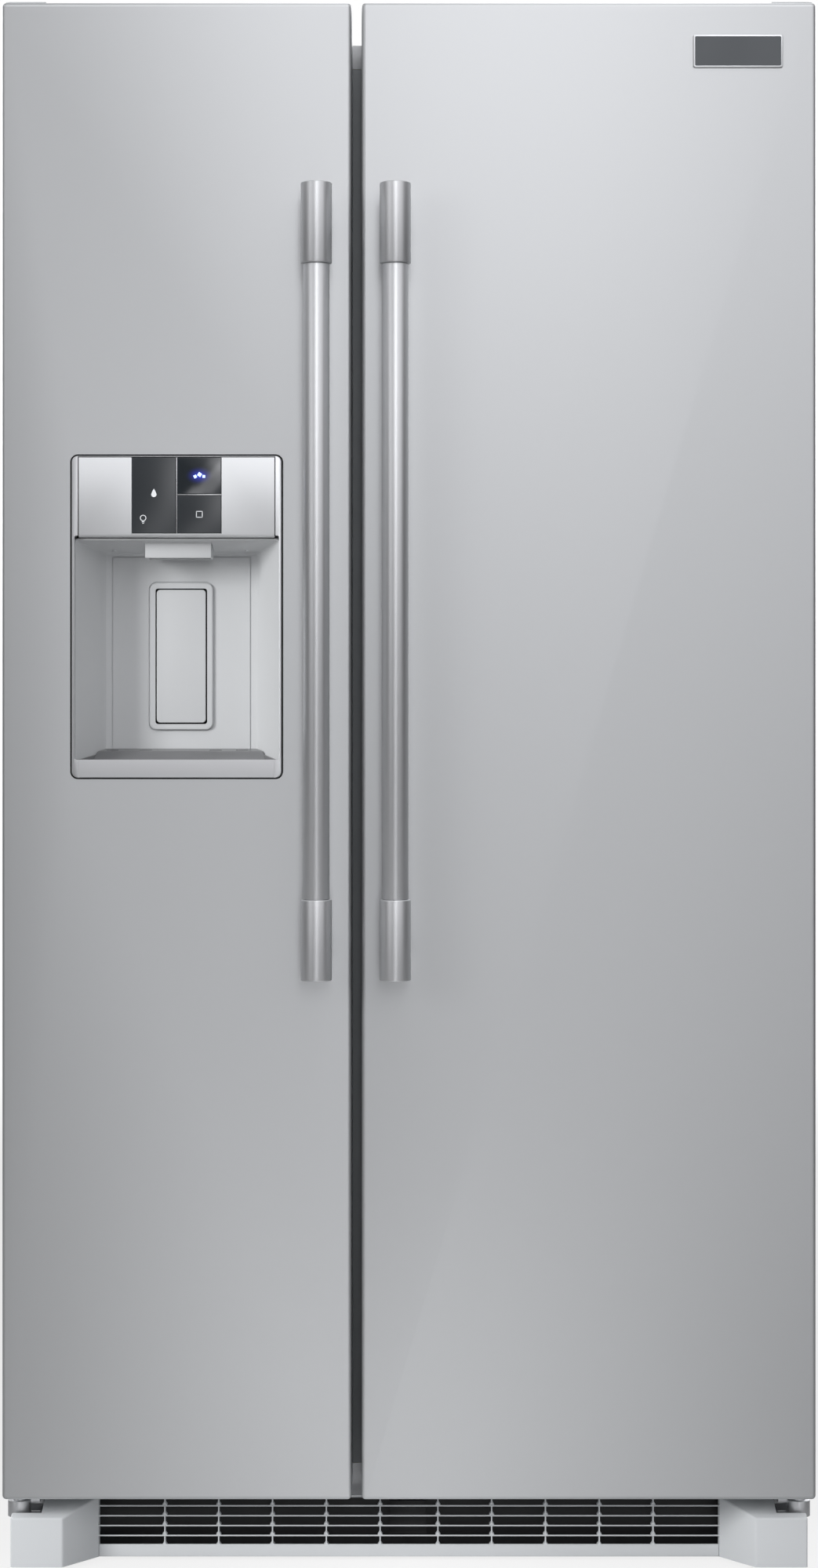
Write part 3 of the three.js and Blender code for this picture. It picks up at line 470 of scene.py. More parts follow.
class Finish:
    """One material: its shader, its Object coordinates, and short ways to wire them."""

    def __init__(self, name, colour, **shader):
        self.material = bpy.data.materials.new(name)
        self.material.use_nodes = True
        self.tree = self.material.node_tree
        self.shader = self.tree.nodes["Principled BSDF"]
        self.colour = tuple(colour)[:3] + (1.0,)
        self.material.diffuse_color = self.colour
        self.put(Base_Color=self.colour, **shader)
        self.place = shader_node(self.tree, "TexCoord").outputs["Object"]

    def put(self, **values):
        """Set or link the shader's sockets, with _ for each space in their names."""
        for label, value in values.items():
            feed(self.tree, self.shader.inputs[label.replace("_", " ")], value)

    def group(self, name, **inputs):
        values = {label.replace("_", " "): value for label, value in inputs.items()}
        values["Place"] = self.place
        tree = bpy.data.node_groups[name]
        return shader_node(self.tree, "Group", values, node_tree=tree).outputs

    def turn(self, degrees):
        """Turn the pattern about Y, so that scratches along Z run along X."""
        values = {"Vector": self.place, "Rotation": (0, math.radians(degrees), 0)}
        self.place = shader_node(self.tree, "Mapping", values).outputs[0]

    def tint(self, tone):
        """Base colour times a tone that changes over the surface."""
        shade = scaled(self.tree, self.colour[:3], tone)
        self.put(Base_Color=shade)
        return shade

    def cover(self, colour, mask, over):
        """Lay a second colour over the first by a mask."""
        values = {0: mask, 6: colour, 7: tuple(over) + (1.0,)}
        self.put(Base_Color=shader_node(self.tree, "Mix", values, data_type="RGBA").outputs[2])

    def relief(self, height, strength, distance):
        values = {"Height": height, "Strength": strength, "Distance": distance}
        self.put(Normal=shader_node(self.tree, "Bump", values).outputs[0])


def brushed(name, colour, roughness, lines, length, tone, relief, along_x=False, **shader):
    finish = Finish(name, colour, Metallic=1.0, **shader)
    if along_x:
        finish.turn(90)
    grain = finish.group(
        "brushed_grain", Lines=lines, Length=length, Tone_Change=tone, Roughness=roughness,
        Roughness_Change=0.07,
    )
    finish.tint(grain["Tone"])
    marks = finish.group("handling_marks", Amount=0.035, Roughness=grain["Roughness"])
    finish.put(Roughness=marks["Roughness"])
    finish.relief(grain["Height"], relief, 0.0001)


def moulded(name, colour, roughness, grain, relief, dust=0.0, **shader):
    finish = Finish(name, colour, **shader)
    body = finish.group("moulded_grain", Grain=grain, Roughness=roughness)
    shade = finish.tint(body["Tone"])
    finish.put(Roughness=body["Roughness"])
    finish.relief(body["Height"], relief, 0.0002)
    if dust:
        finish.cover(shade, finish.group("settled_dust", Amount=dust)["Mask"], (0.42, 0.39, 0.35))
    return finish


def steel_finishes(colours):
    brushed("stainless_skin", colours.stainless, 0.15, 430, 20, 0.36, 0.08, Anisotropic=0.3)
    brushed("handle_steel", colours.polished, 0.09, 1400, 9, 0.04, 0.0)
    brushed("bezel_metal", (0.36, 0.365, 0.37), 0.26, 1200, 40, 0.03, 0.05)
    brushed("fascia_steel", colours.fascia, 0.36, 1500, 25, 0.05, 0.10, Anisotropic=0.3)
    brushed("badge_metal", colours.polished, 0.2, 1200, 40, 0.03, 0.04, along_x=True)
    brushed("hinge_steel", (0.56, 0.57, 0.58), 0.33, 500, 60, 0.10, 0.08)


def sheet_finishes(colours):
    moulded("cabinet_paint", colours.cabinet, 0.42, 900, 0.35, 0.5, Metallic=0.15, Coat_Weight=0.15)
    moulded("mullion_paint", (0.055, 0.058, 0.062), 0.4, 1200, 0.1)
    # Black coat of the compressor and pipes; on the base rails it also stands in as painted shadow
    # behind the louvres.
    moulded("black_metal", (0.018, 0.018, 0.019), 0.38, 500, 0.25, dust=0.55)
    zinc = Finish("zinc_sheet", (0.50, 0.52, 0.53), Metallic=0.9)
    cells = {"Vector": zinc.place, "Scale": 120.0, "Randomness": 1.0}
    spangle = shader_node(zinc.tree, "TexVoronoi", cells).outputs["Color"]
    shade = zinc.tint(level(zinc.tree, spangle, 0.86, 1.06, 0.0, 1.0))
    zinc.put(Roughness=level(zinc.tree, spangle, 0.36, 0.52, 0.0, 1.0))
    zinc.cover(shade, zinc.group("settled_dust", Amount=0.45)["Mask"], (0.40, 0.38, 0.34))


def plastic_finishes(colours):
    moulded("grey_plastic", (0.20, 0.21, 0.22), 0.5, 1300, 0.3)
    moulded("tray_plastic", colours.tray, 0.32, 1600, 0.10, Metallic=0.4)
    moulded("dispenser_plastic", colours.housing, 0.27, 1700, 0.08, Metallic=0.5)
    moulded("grille_plastic", colours.grille, 0.38, 1200, 0.25, Metallic=0.25)
    moulded("black_plastic", (0.02, 0.02, 0.021), 0.45, 1200, 0.3, dust=0.3)
    moulded("roller_plastic", (0.12, 0.125, 0.13), 0.5, 900, 0.3, dust=0.2)
    moulded("liner_plastic", (0.84, 0.85, 0.85), 0.28, 700, 0.08)
    moulded("gasket_rubber", (0.16, 0.165, 0.17), 0.62, 1500, 0.15)
    moulded("foam", (0.72, 0.60, 0.34), 0.9, 350, 0.9)
    # Near-black painted shadow, laid on linings, the seal and the sheet behind the louvres where shade
    # falls.
    moulded("painted_shadow", (0.008, 0.008, 0.009), 0.6, 900, 0.1)
    moulded("copper_pipe", (0.66, 0.28, 0.14), 0.32, 300, 0.1, Metallic=1.0)
    moulded("clear_plastic", (0.86, 0.93, 0.95), 0.12, 500, 0.03, Alpha=0.42, IOR=1.49)
    moulded("shelf_glass", (0.80, 0.93, 0.90), 0.06, 200, 0.01, Alpha=0.35, IOR=1.52)
    moulded("lamp_lens", (0.95, 0.95, 0.90), 0.35, 300, 0.2)


def backlit_key(colours):
    """The chosen key: black gloss with a blue lamp behind its sign."""
    lit = moulded("lit_key", colours.key, 0.09, 400, 0.01, Coat_Weight=0.6, Emission_Strength=0.9)
    offset = vectors(lit.tree, "SUBTRACT", lit.place, middle("button_crush"))
    squashed = vectors(lit.tree, "MULTIPLY", offset, (1.0, 0.0, 1.5))
    away = shader_node(lit.tree, "VectorMath", {0: squashed}, operation="LENGTH").outputs["Value"]
    glow = arithmetic(lit.tree, "POWER", level(lit.tree, away, 1.0, 0.0, 2 * MM, 17 * MM), 2.2)
    lit.put(Emission_Color=scaled(lit.tree, (0.04, 0.05, 0.55), glow))


def key_finishes(colours):
    moulded("key_gloss", colours.key, 0.09, 400, 0.01, Coat_Weight=0.6)
    backlit_key(colours)
    moulded("key_mark", (0.82, 0.84, 0.86), 0.35, 600, 0.02)
    moulded(
        "key_glow", (0.25, 0.42, 0.95), 0.3, 600, 0.02,
        Emission_Color=(0.45, 0.55, 1.0, 1.0), Emission_Strength=1.6,
    )
    moulded("badge_panel", (0.05, 0.055, 0.06), 0.22, 500, 0.03, Metallic=0.4)


class FRIDGE_PG_colours(bpy.types.PropertyGroup):
    stainless: FloatVectorProperty(
        name="Door skins", description="Brushed steel of the doors",
        default=(0.60, 0.61, 0.62), **COLOUR)
    polished: FloatVectorProperty(
        name="Handles and trim", description="Polished steel of handles and frames",
        default=(0.74, 0.75, 0.76), **COLOUR)
    fascia: FloatVectorProperty(
        name="Fascia", description="Brushed sheet around the keys",
        default=(0.33, 0.333, 0.337), **COLOUR)
    cabinet: FloatVectorProperty(
        name="Cabinet", description="Enamel of the cabinet wrap",
        default=(0.30, 0.31, 0.32), **COLOUR)
    grille: FloatVectorProperty(
        name="Toe grille", description="Silver plastic of the grille",
        default=(0.212, 0.212, 0.214), **COLOUR)
    housing: FloatVectorProperty(
        name="Dispenser housing", description="Silver plastic of the cavity",
        default=(0.265, 0.267, 0.272), **COLOUR)
    tray: FloatVectorProperty(
        name="Drip tray", description="Plastic of the drip tray",
        default=(0.235, 0.237, 0.242), **COLOUR)
    key: FloatVectorProperty(
        name="Keys", description="Gloss of the dispenser keys",
        default=(0.022, 0.026, 0.03), **COLOUR)


class FRIDGE_OT_finishes(bpy.types.Operator):
    """Make every finish that the pieces use"""

    bl_idname = "fridge.finishes"
    bl_label = "Finishes"

    def execute(self, context):
        for group in (brushing_group, moulding_group, dust_group, handling_group):
            group()
        for finishes in (steel_finishes, sheet_finishes, plastic_finishes, key_finishes):
            finishes(context.scene.fridge_colours)
        return {"FINISHED"}


# ---------------------------------------------------------------- doors
class FRIDGE_PG_doors(bpy.types.PropertyGroup):
    corner: FloatProperty(
        name="Corner", description="Corner radius seen from the front", default=4.6 * MM, **LENGTH)
    fold: FloatProperty(
        name="Fold", description="Radius of the folds around the front", default=4.2 * MM, **LENGTH)
    sheet: FloatProperty(
        name="Sheet", description="Thickness of the steel skin", default=0.8 * MM, **LENGTH)
    turned_in: FloatProperty(
        name="Turned in", description="How far the skin folds over the top and bottom",
        default=16 * MM, **LENGTH)


def door_skin(door, sizes):
    low, high = low_high(f"{door}_door_skin")
    skin = rounded_plate(f"{door}_skin", low, high, sizes.corner, 6)
    round_edges(skin, sizes.fold, 8, lies(Y, low.y))
    open_faces(skin, faces_to(Y, 1))
    fold_line = low.y + sizes.turned_in
    slice_at(skin, (fold_line,))
    open_faces(
        skin, lambda face: abs(face.normal.z) > 0.99 and face.calc_center_median().y > fold_line
    )
    return walled(skin, sizes.sheet)


def dispenser_opening():
    """What the freezer door's skin leaves free around the dispenser's frame."""
    low, high = low_high("dispenser_bezel")
    margin = 1.7 * MM
    grow = Vector((margin, 0.01, margin))
    end = Vector((high.x, low.y + 4 * MM, high.z)) + grow
    return rounded_plate("opening", low - grow, end, 7 * MM + margin)


class FRIDGE_OT_doors(bpy.types.Operator):
    """Fold the two steel door skins and mould their end caps"""

    bl_idname = "fridge.doors"
    bl_label = "Doors"

    def execute(self, context):
        for door in DOORS:
            skin = door_skin(door, context.scene.fridge_doors)
            if door == "freezer":
                cut(skin, dispenser_opening())
            complete(skin, f"{door}_door", "stainless_skin", stands_for=(f"{door}_door_skin",))
            for end in ("top", "bottom"):
                cap = f"{door}_cap_{end}"
                softened(f"{door}_door_cap_{end}", cap, f"{door}_door", "grey_plastic", 1.2)
        return {"FINISHED"}


def gasket_fold(door):
    """The soft bellows of the seal, between its foot on the liner and its magnet strip."""
    low, high = low_high(f"{door}_door_gasket")
    inset = Vector((16 * MM, -1, 16 * MM))
    seal = rounded_plate(f"{door}_gasket", low, high, 6 * MM, 6)
    cut(seal, rounded_plate("hole", low + inset, high - inset, 3 * MM, 4))
    slice_at(seal, [low.y + share * (high.y - low.y) for share in (0.28, 0.5, 0.72)])
    choose(seal, "EDGE", lies(Y, (low.y + high.y) / 2, 0.2 * MM))
    bpy.ops.transform.shrink_fatten(value=-3.2 * MM)
    object_mode()
    return soften(seal, 0.7 * MM)


def rim_band(node, name):
    """The raised band along the front of a door bin's rim."""
    low, high = low_high(node)
    rim = 3.2 * MM
    band = block(
        name, (low.x - 0.5 * MM, high.y - 2 * rim, high.z - 16 * MM), high + mm(0.5, 1, 1.5)
    )
    inside = block(
        "inside", (low.x + 2.4 * MM, high.y - 3 * rim, high.z - 20 * MM), high + mm(-2.4, -2.3, 5)
    )
    return soften(cut(band, inside), 0.8 * MM)


class FRIDGE_OT_door_insides(bpy.types.Operator):
    """Mould the door liners, their seals and the bins that hang between the rims"""

    bl_idname = "fridge.door_insides"
    bl_label = "Door insides"

    def execute(self, context):
        for door, bins in zip(DOORS, (("lower", "upper"), ("lower", "middle", "upper"))):
            body = f"{door}_door"
            softened(f"{door}_door_liner", f"{door}_inner_door", body, "liner_plastic", 3.0, 3)
            complete(gasket_fold(door), body, "gasket_rubber", stands_for=(f"{door}_door_gasket",))
            for place in bins:
                node, name = f"{door}_door_bin_{place}", f"{door}_bin_{place}"
                softened(node, f"{name}_tub", body, "clear_plastic", 2.0, 3)
                complete(rim_band(node, f"{name}_band"), body, "clear_plastic", "liner_plastic")
        return {"FINISHED"}


# ---------------------------------------------------------------- handles
class FRIDGE_PG_handles(bpy.types.PropertyGroup):
    rim: FloatProperty(
        name="Rim", description="Rounding of the end posts' rims", default=1.3 * MM, **LENGTH)
    neck: FloatProperty(
        name="Stand-off", description="Radius of the stand-off behind each post",
        default=11 * MM, **LENGTH)


def upright_bar(name, node, rim, segments):
    """A round bar in the front of a CAD node's box, with rounded rims; and its middle."""
    low, high = low_high(node)
    radius = (high.x - low.x) / 2
    x, y = (low.x + high.x) / 2, low.y + radius
    bar = rod(name, radius, (x, y, low.z), (x, y, high.z), 96)
    round_edges(bar, rim, segments, either(lies(Z, low.z), lies(Z, high.z)))
    return bar, Vector((x, y, (low.z + high.z) / 2)), high.y


def handle_post(door, place, sizes):
    name, body = f"{door}_handle_{place}", f"{door}_door"
    node = f"{door}_handle_post_{place}"
    post, centre, skin = upright_bar(f"{name}_post", node, sizes.rim, 4)
    foot = Vector((centre.x, skin, centre.z))
    weld(post, rod("neck", sizes.neck, centre, foot, 64))
    thick = 2.2 * MM
    collar = rod(f"{name}_collar", sizes.neck + 2.5 * MM, foot - Vector((0, thick, 0)), foot, 64)
    round_edges(collar, 0.9 * MM, 3, lies(Y, skin - thick))
    complete(post, body, "handle_steel", stands_for=(node,), smooth=28)
    complete(collar, body, "handle_steel")


class FRIDGE_OT_handles(bpy.types.Operator):
    """Turn the two upright bar handles with their end posts and stand-offs"""

    bl_idname = "fridge.handles"
    bl_label = "Handles"

    def execute(self, context):
        for door in DOORS:
            for place in ("lower", "upper"):
                handle_post(door, place, context.scene.fridge_handles)
            node = f"{door}_handle_bar"
            grip = upright_bar(f"{door}_handle_grip", node, 0.5 * MM, 2)[0]
            complete(grip, f"{door}_door", "handle_steel", stands_for=(node,), smooth=28)
        return {"FINISHED"}


# ---------------------------------------------------------------- dispenser
class FRIDGE_PG_dispenser(bpy.types.PropertyGroup):
    frame_corner: FloatProperty(
        name="Frame corner", description="Corner radius of the bright frame",
        default=7 * MM, **LENGTH)
    lip: FloatProperty(
        name="Fascia lip", description="Rounding along the fascia's lower edge",
        default=3 * MM, **LENGTH)
    wall: FloatProperty(
        name="Housing wall", description="Thickness of the housing", default=2 * MM, **LENGTH)
    surround: FloatProperty(
        name="Paddle surround", description="Width of the raised frame around the paddle",
        default=6.5 * MM, **LENGTH)


def bezel(sizes):
    """The bright frame with its fascia seat and side grooves, and behind it a seal coloured near-black
    as painted shadow, the dark outline round the frame.
    """
    low, high = low_high("dispenser_bezel")
    fascia_low, fascia_high = low_high("dispenser_fascia")
    lip_top = low.z + 20.2 * MM
    bright = rounded_plate("dispenser_frame", low, high, sizes.frame_corner)
    round_edges(bright, 1.1 * MM, 3, lies(Y, low.y))
    cavity = rounded_plate(
        "cavity", (low.x + 3 * MM, low.y - 1 * MM, lip_top),
        (high.x - 3 * MM, high.y + 1 * MM, fascia_low.z + 2 * MM), 2 * MM, 3,
    )
    seat = block(
        "seat", (fascia_low.x - 1.1 * MM, low.y - 1 * MM, fascia_low.z - 1.3 * MM),
        (fascia_high.x + 1.1 * MM, high.y + 1 * MM, fascia_high.z + 0.6 * MM),
    )
    deep, tall = (low.y - 1 * MM, low.y + 2.4 * MM), (low.z - 1 * MM, lip_top + 1 * MM)
    grooves = [
        across("groove", x, 0.6 * MM, deep, tall)
        for x in (fascia_low.x - 0.3 * MM, fascia_high.x + 0.3 * MM)
    ]
    cut(bright, cavity, seat, *grooves)
    # The seal is coloured as painted shadow, so the gap round the frame reads black.
    seal = rounded_plate(
        "dispenser_seal", (low.x - 3 * MM, high.y - 5.4 * MM, low.z - 3 * MM),
        high + mm(3, -4.4, 3), sizes.frame_corner + 3 * MM,
    )
    cut(seal, rounded_plate("hollow", low - mm(0.2, 0, 0.2), high + mm(0.2, 0, 0.2), sizes.frame_corner))
    complete(seal, "freezer_door", "gasket_rubber", "painted_shadow")
    complete(bright, "freezer_door", "bezel_metal", stands_for=("dispenser_bezel",), smooth=40)


def ring(low, high, corner, width):
    """A flat frame of a given width that runs round a rounded plate."""
    low, high = Vector(low), Vector(high)
    outside, deeper = Vector((width, 0, width)), Vector((0, 0.01, 0))
    band = rounded_plate("ring", low - outside, high + outside, corner + width)
    return cut(band, rounded_plate("inside", low - deeper, high + deeper, corner))


def key_boxes():
    return {word: low_high(f"button_{word}") for word in ("water", "crush", "cube")}


def fascia(sizes):
    """The brushed panel with the well that holds the keys and their dividers."""
    low, high = low_high("dispenser_fascia")
    keys = key_boxes()
    gap = 0.4 * MM
    left, right = keys["water"][0].x - gap, keys["cube"][1].x + gap
    base, floor = keys["water"][0].z - gap, low.y + 7.5 * MM
    panel = block("dispenser_fascia_panel", low, high)
    round_edges(panel, sizes.lip, 6, every(lies(Y, low.y), lies(Z, low.z)))
    round_edges(panel, 1.0 * MM, 3, every(lies(Y, low.y), lies(Z, high.z)))
    cut(panel, block("well", (left, low.y - 0.01, base), (right, floor, high.z + 0.01)))
    complete(panel, "freezer_door", "fascia_steel", stands_for=("dispenser_fascia",), smooth=40)
    # The well's lining is near-black painted shadow in the recess behind the keys.
    lining = block(
        "key_well_floor", (left + 0.05 * MM, floor - gap, base + 0.05 * MM),
        (right - 0.05 * MM, floor - 0.05 * MM, high.z - gap),
    )
    complete(soften(lining, 0.1 * MM, 1), "freezer_door", "key_gloss", "painted_shadow")
    centre = (keys["water"][1].x + keys["crush"][0].x) / 2
    height = (keys["cube"][1].z + keys["crush"][0].z) / 2
    half = 0.5 * MM
    front, back = low.y + 0.35 * MM, floor - gap
    upright = across("key_divider_upright", centre, half, (front, back), (base, high.z - 0.2 * MM))
    level_bar = block(
        "key_divider_across", (centre + half + 0.02 * MM, front, height - half),
        (right, back, height + half),
    )
    for rib in (upright, level_bar):
        complete(soften(rib, 0.25 * MM), "freezer_door", "bezel_metal")


SIGN = 0.12 * MM
STROKE = 0.8 * MM


def lamp_ring(centre, radius, sides=32):
    """An upright ring that faces -Y."""
    thick = Vector((0, SIGN, 0))
    disc = rod("lamp_ring", radius, centre, centre + thick, sides)
    return cut(disc, rod("hole", radius - STROKE, centre - thick, centre + 2 * thick, sides))


def sign_bar(centre, width, height, turn=0.0):
    """A small upright bar that faces -Y, turned about its own middle."""
    half = Vector((width / 2, SIGN / 2, height / 2))
    bar = block("bar", centre - half, centre + half)
    if turn:
        edit_all(bar)
        bpy.ops.transform.rotate(
            value=math.radians(turn), orient_axis="Y", orient_type="GLOBAL", center_override=centre
        )
        object_mode()
    return bar


def drop_sign(centre, radius):
    """A drop of water: a disc whose upper part is drawn to a point."""
    drop = rod("water_drop_sign", radius, centre, centre + Vector((0, SIGN, 0)), 40)

    def drawn(place):
        rise = (place.z - centre.z) / radius
        if rise <= 0:
            return place
        taper = max(0.0, 1 - rise) ** 0.45
        return (centre.x + (place.x - centre.x) * taper, place.y, centre.z + rise * radius * 2.1)

    reshape(drop, drawn)
    return drop


def key_signs(keys):
    """Simple signs in place of words: a drop and a small lamp, broken pieces, and a cube."""
    sunk = SIGN / 2
    face = keys["water"][0].y - sunk

    def spot(word, rise=0.0):
        low, high = keys[word]
        return Vector(((low.x + high.x) / 2, face, (low.z + high.z) / 2 + rise))

    into = Vector((0, sunk, 0))
    low = keys["water"][0]
    lamp_spot = Vector((low.x + 12.5 * MM, face, low.z + 17 * MM))
    drop = drop_sign(spot("water", 1 * MM), 3.0 * MM)
    bulb = [lamp_ring(lamp_spot, 3.5 * MM)]
    for down, width in ((4.3, 3.0), (5.8, 2.0)):
        bulb.append(sign_bar(lamp_spot + into - mm(0, 0, down), width * MM, STROKE))
    lumps = []
    for at, (dx, dz, size) in enumerate(((-4.6, -1.0, 3.4), (0.3, 1.2, 4.2), (5.0, -0.9, 3.1))):
        lumps.append(sign_bar(spot("crush") + into + mm(dx, 0, dz), size * MM, size * MM, 27 + 31 * at))
    side = 6.6 * MM
    edges = []
    for step in range(4):
        angle = math.radians(90 * step)
        place = spot("cube") + into + Vector((math.sin(angle), 0, math.cos(angle))) * side / 2
        size = (STROKE, side + STROKE) if step % 2 else (side + STROKE, STROKE)
        edges.append(sign_bar(place, *size))
    for word, sign, finish in (
        ("water", drop, "key_mark"),
        ("water", join("lamp_sign", bulb), "key_mark"),
        ("crush", join("broken_ice_sign", lumps), "key_glow"),
        ("cube", join("ice_cube_sign", edges), "key_mark"),
    ):
        complete(sign, f"button_{word}", "key_gloss", finish)


def keys_and_signs():
    keys = key_boxes()
    for word, (low, high) in keys.items():
        key = rounded_plate(f"{word}_key", low, high, 0.9 * MM, 3)
        round_edges(key, 0.45 * MM, 3, lies(Y, low.y))
        finish = "lit_key" if word == "crush" else "key_gloss"
        complete(key, f"button_{word}", "key_gloss", finish, (f"button_{word}",))
    key_signs(keys)


BACK_HALF = 87.25 * MM  # half the width of the cavity's back
CEILING_DROP = 11 * MM  # how much lower the ceiling is at the back than at the mouth


def cavity_shell(sizes, centre, front, back, floor, ceiling):
    """The open cavity, whose back is smaller than its mouth, with stepped back corners."""
    bezel_low, bezel_high = low_high("dispenser_bezel")
    half = (bezel_high.x - bezel_low.x) / 2 - 3.3 * MM
    body = across("dispenser_cavity", centre, half, (front, back), (floor, ceiling))
    choose(body, "FACE", faces_to(Y, 1))
    bpy.ops.transform.resize(
        value=(BACK_HALF / half, 1, (ceiling - CEILING_DROP - floor) / (ceiling - floor)),
        center_override=(centre, back, floor),
    )
    object_mode()
    open_faces(body, faces_to(Y, -1))
    round_edges(body, 7 * MM, 2, every(runs(Z), lies(Y, back)))

    def ceiling_edge(edge):
        high_up = all(v.co.z > ceiling - CEILING_DROP - 1 * MM for v in edge.verts)
        return high_up and folded(edge, 0.9)

    round_edges(body, 3 * MM, 3, ceiling_edge)
    return walled(body, sizes.wall, 1)


def housing(sizes):
    """The tapering cavity with its paddle pocket and raised surround."""
    paddle_low, paddle_high = low_high("dispenser_paddle")
    fascia_base = low_high("dispenser_fascia")[0].z
    low, high = low_high("dispenser_bezel")
    centre = (low.x + high.x) / 2
    front, back = high.y + 0.3 * MM, paddle_low.y + 6 * MM
    floor, ceiling = low.z + 2.4 * MM, fascia_base - 2.7 * MM
    body = cavity_shell(sizes, centre, front, back, floor, ceiling)
    half = (paddle_high.x - paddle_low.x) / 2 + 1.6 * MM
    base, top = paddle_low.z - 1.6 * MM, paddle_high.z + 1.5 * MM
    deepest = low_high("dispenser_housing")[1].y - sizes.wall
    rim = sizes.surround
    raised = rounded(across(
        "raised", centre, half + rim, (back - 4 * MM, back + 1 * MM), (base - rim, top + rim)
    ), 8 * MM)
    round_edges(raised, 1.6 * MM, 4, lies(Y, back - 4 * MM))
    pocket = across(
        "pocket", centre, half + 2 * MM, (back + 0.2 * MM, deepest + sizes.wall),
        (base - 2 * MM, top + 2 * MM),
    )
    weld(body, raised, pocket)
    well = rounded(across("well", centre, half, (back - 10 * MM, deepest), (base, top)), 3 * MM, 4)
    chute_low, chute_high = low_high("ice_chute")
    port = block(
        "port", (chute_low.x - 0.5 * MM, chute_low.y - 0.5 * MM, fascia_base - 30 * MM),
        (chute_high.x + 0.5 * MM, chute_low.y + 40.5 * MM, fascia_base + 20 * MM),
    )
    surround_seam = ring(
        (centre - half - rim, back - 1.2 * MM, base - rim),
        (centre + half + rim, back + 1.5 * MM, top + rim), 8 * MM, 1.4 * MM,
    )
    inner = BACK_HALF - 9 * MM
    corner_seam = ring(
        (centre - inner, back - 1 * MM, floor + 12 * MM),
        (centre + inner, back + 1.5 * MM, ceiling - CEILING_DROP - 5 * MM), 2 * MM, 1.2 * MM,
    )
    cut(body, well, port, surround_seam, corner_seam)
    complete(
        body, "freezer_door", "dispenser_plastic", stands_for=("dispenser_housing",), smooth=24
    )
    # The pocket's lining is near-black painted shadow, the dark outline round the paddle.
    gap = 0.1 * MM
    lining = across(
        "paddle_pocket_lining", centre, half - gap, (back - 2.5 * MM, deepest - 2 * gap),
        (base + gap, top - gap),
    )
    rounded(lining, 2.9 * MM, 4)
    open_faces(lining, faces_to(Y, -1))
    walled(lining, 0.35 * MM, even=False)
    complete(lining, "freezer_door", "dispenser_plastic", "painted_shadow")
    along = back - 15 * MM
    height = ceiling - CEILING_DROP * (along - front) / (back - front)
    for side, word in ((-1, "left"), (1, "right")):
        ceiling_screw(word, Vector((centre + side * 75.4 * MM, along, height)))


def ceiling_screw(word, spot):
    """A small cross-slotted screw that holds the housing's ceiling."""
    tip = spot - mm(0, 0, 1.3)
    head = rod(f"ceiling_screw_{word}", 2.6 * MM, tip, spot + mm(0, 0, 0.8), 24)
    round_edges(head, 0.7 * MM, 3, lies(Z, tip.z))
    for half in (mm(1.5, 0.35, 0.7), mm(0.35, 1.5, 0.7)):
        cut(head, block("slot", tip - half, tip + half))
    complete(head, "freezer_door", "hinge_steel")


def paddle():
    low, high = low_high("dispenser_paddle")
    blade = rounded_plate("ice_paddle", low, high, 4 * MM, 5)
    round_edges(blade, 1.0 * MM, 3, lies(Y, low.y))
    complete(
        blade, "dispenser_paddle", "dispenser_plastic", stands_for=("dispenser_paddle",), smooth=30
    )


def tray_rise(depth):
    """Height of the tray's cover above its front edge, in mm, at a depth behind that edge."""
    scoop, ledge, end = 14, 44, 65
    if depth < scoop:
        return -3.4 * math.sin(math.pi / 2 * depth / scoop)
    if depth < ledge:
        return -3.4 + 12.6 * ((depth - scoop) / (ledge - scoop)) ** 2.2
    return 9.2 + 3.2 * (depth - ledge) / (end - ledge)


def drip_cover(low, high):
    """The dished cover: a scooped front, and a sloping ledge with four drain slots behind it."""
    x = (low.x + high.x) / 2
    front, back = low.y + 0.8 * MM, high.y - 0.5 * MM
    edge = low.z + 16.8 * MM
    half, narrowing = (high.x - low.x) / 2 - 1.6 * MM, 25.5 * MM
    cover = across("drip_cover", x, half, (front, back), (edge - 2.4 * MM, edge))
    steps = 22
    slice_at(cover, [front + (back - front) * step / steps for step in range(1, steps)])

    def dished(place):
        depth = place.y - front
        narrower = (half - narrowing * depth / (back - front)) / half
        return (x + (place.x - x) * narrower, place.y, place.z + tray_rise(depth / MM) * MM)

    reshape(cover, dished)
    for away in (-78, -39.6, 39.6, 70):
        spot = Vector((x + away * MM, back - 11 * MM, edge + 11 * MM))
        half_slot = mm(7, 3.2, 6)
        cut(cover, rounded_plate("slot", spot - half_slot, spot + half_slot, 1 * MM, 2))
    return cover


class FRIDGE_OT_dispenser(bpy.types.Operator):
    """Build the water and ice dispenser in the freezer door"""

    bl_idname = "fridge.dispenser"
    bl_label = "Dispenser"

    def execute(self, context):
        sizes = context.scene.fridge_dispenser
        bezel(sizes)
        fascia(sizes)
        keys_and_signs()
        housing(sizes)
        softened("ice_chute", "ice_nozzle", "freezer_door", "dispenser_plastic", 0.8, 3)
        paddle()
        tray = soften(node_copy("drip_tray", "drip_tray_tub"), 0.5 * MM, 3)
        complete(tray, "drip_tray", "grey_plastic", "tray_plastic", ("drip_tray",))
        complete(drip_cover(*low_high("drip_tray")), "drip_tray", "grey_plastic", "tray_plastic")
        return {"FINISHED"}


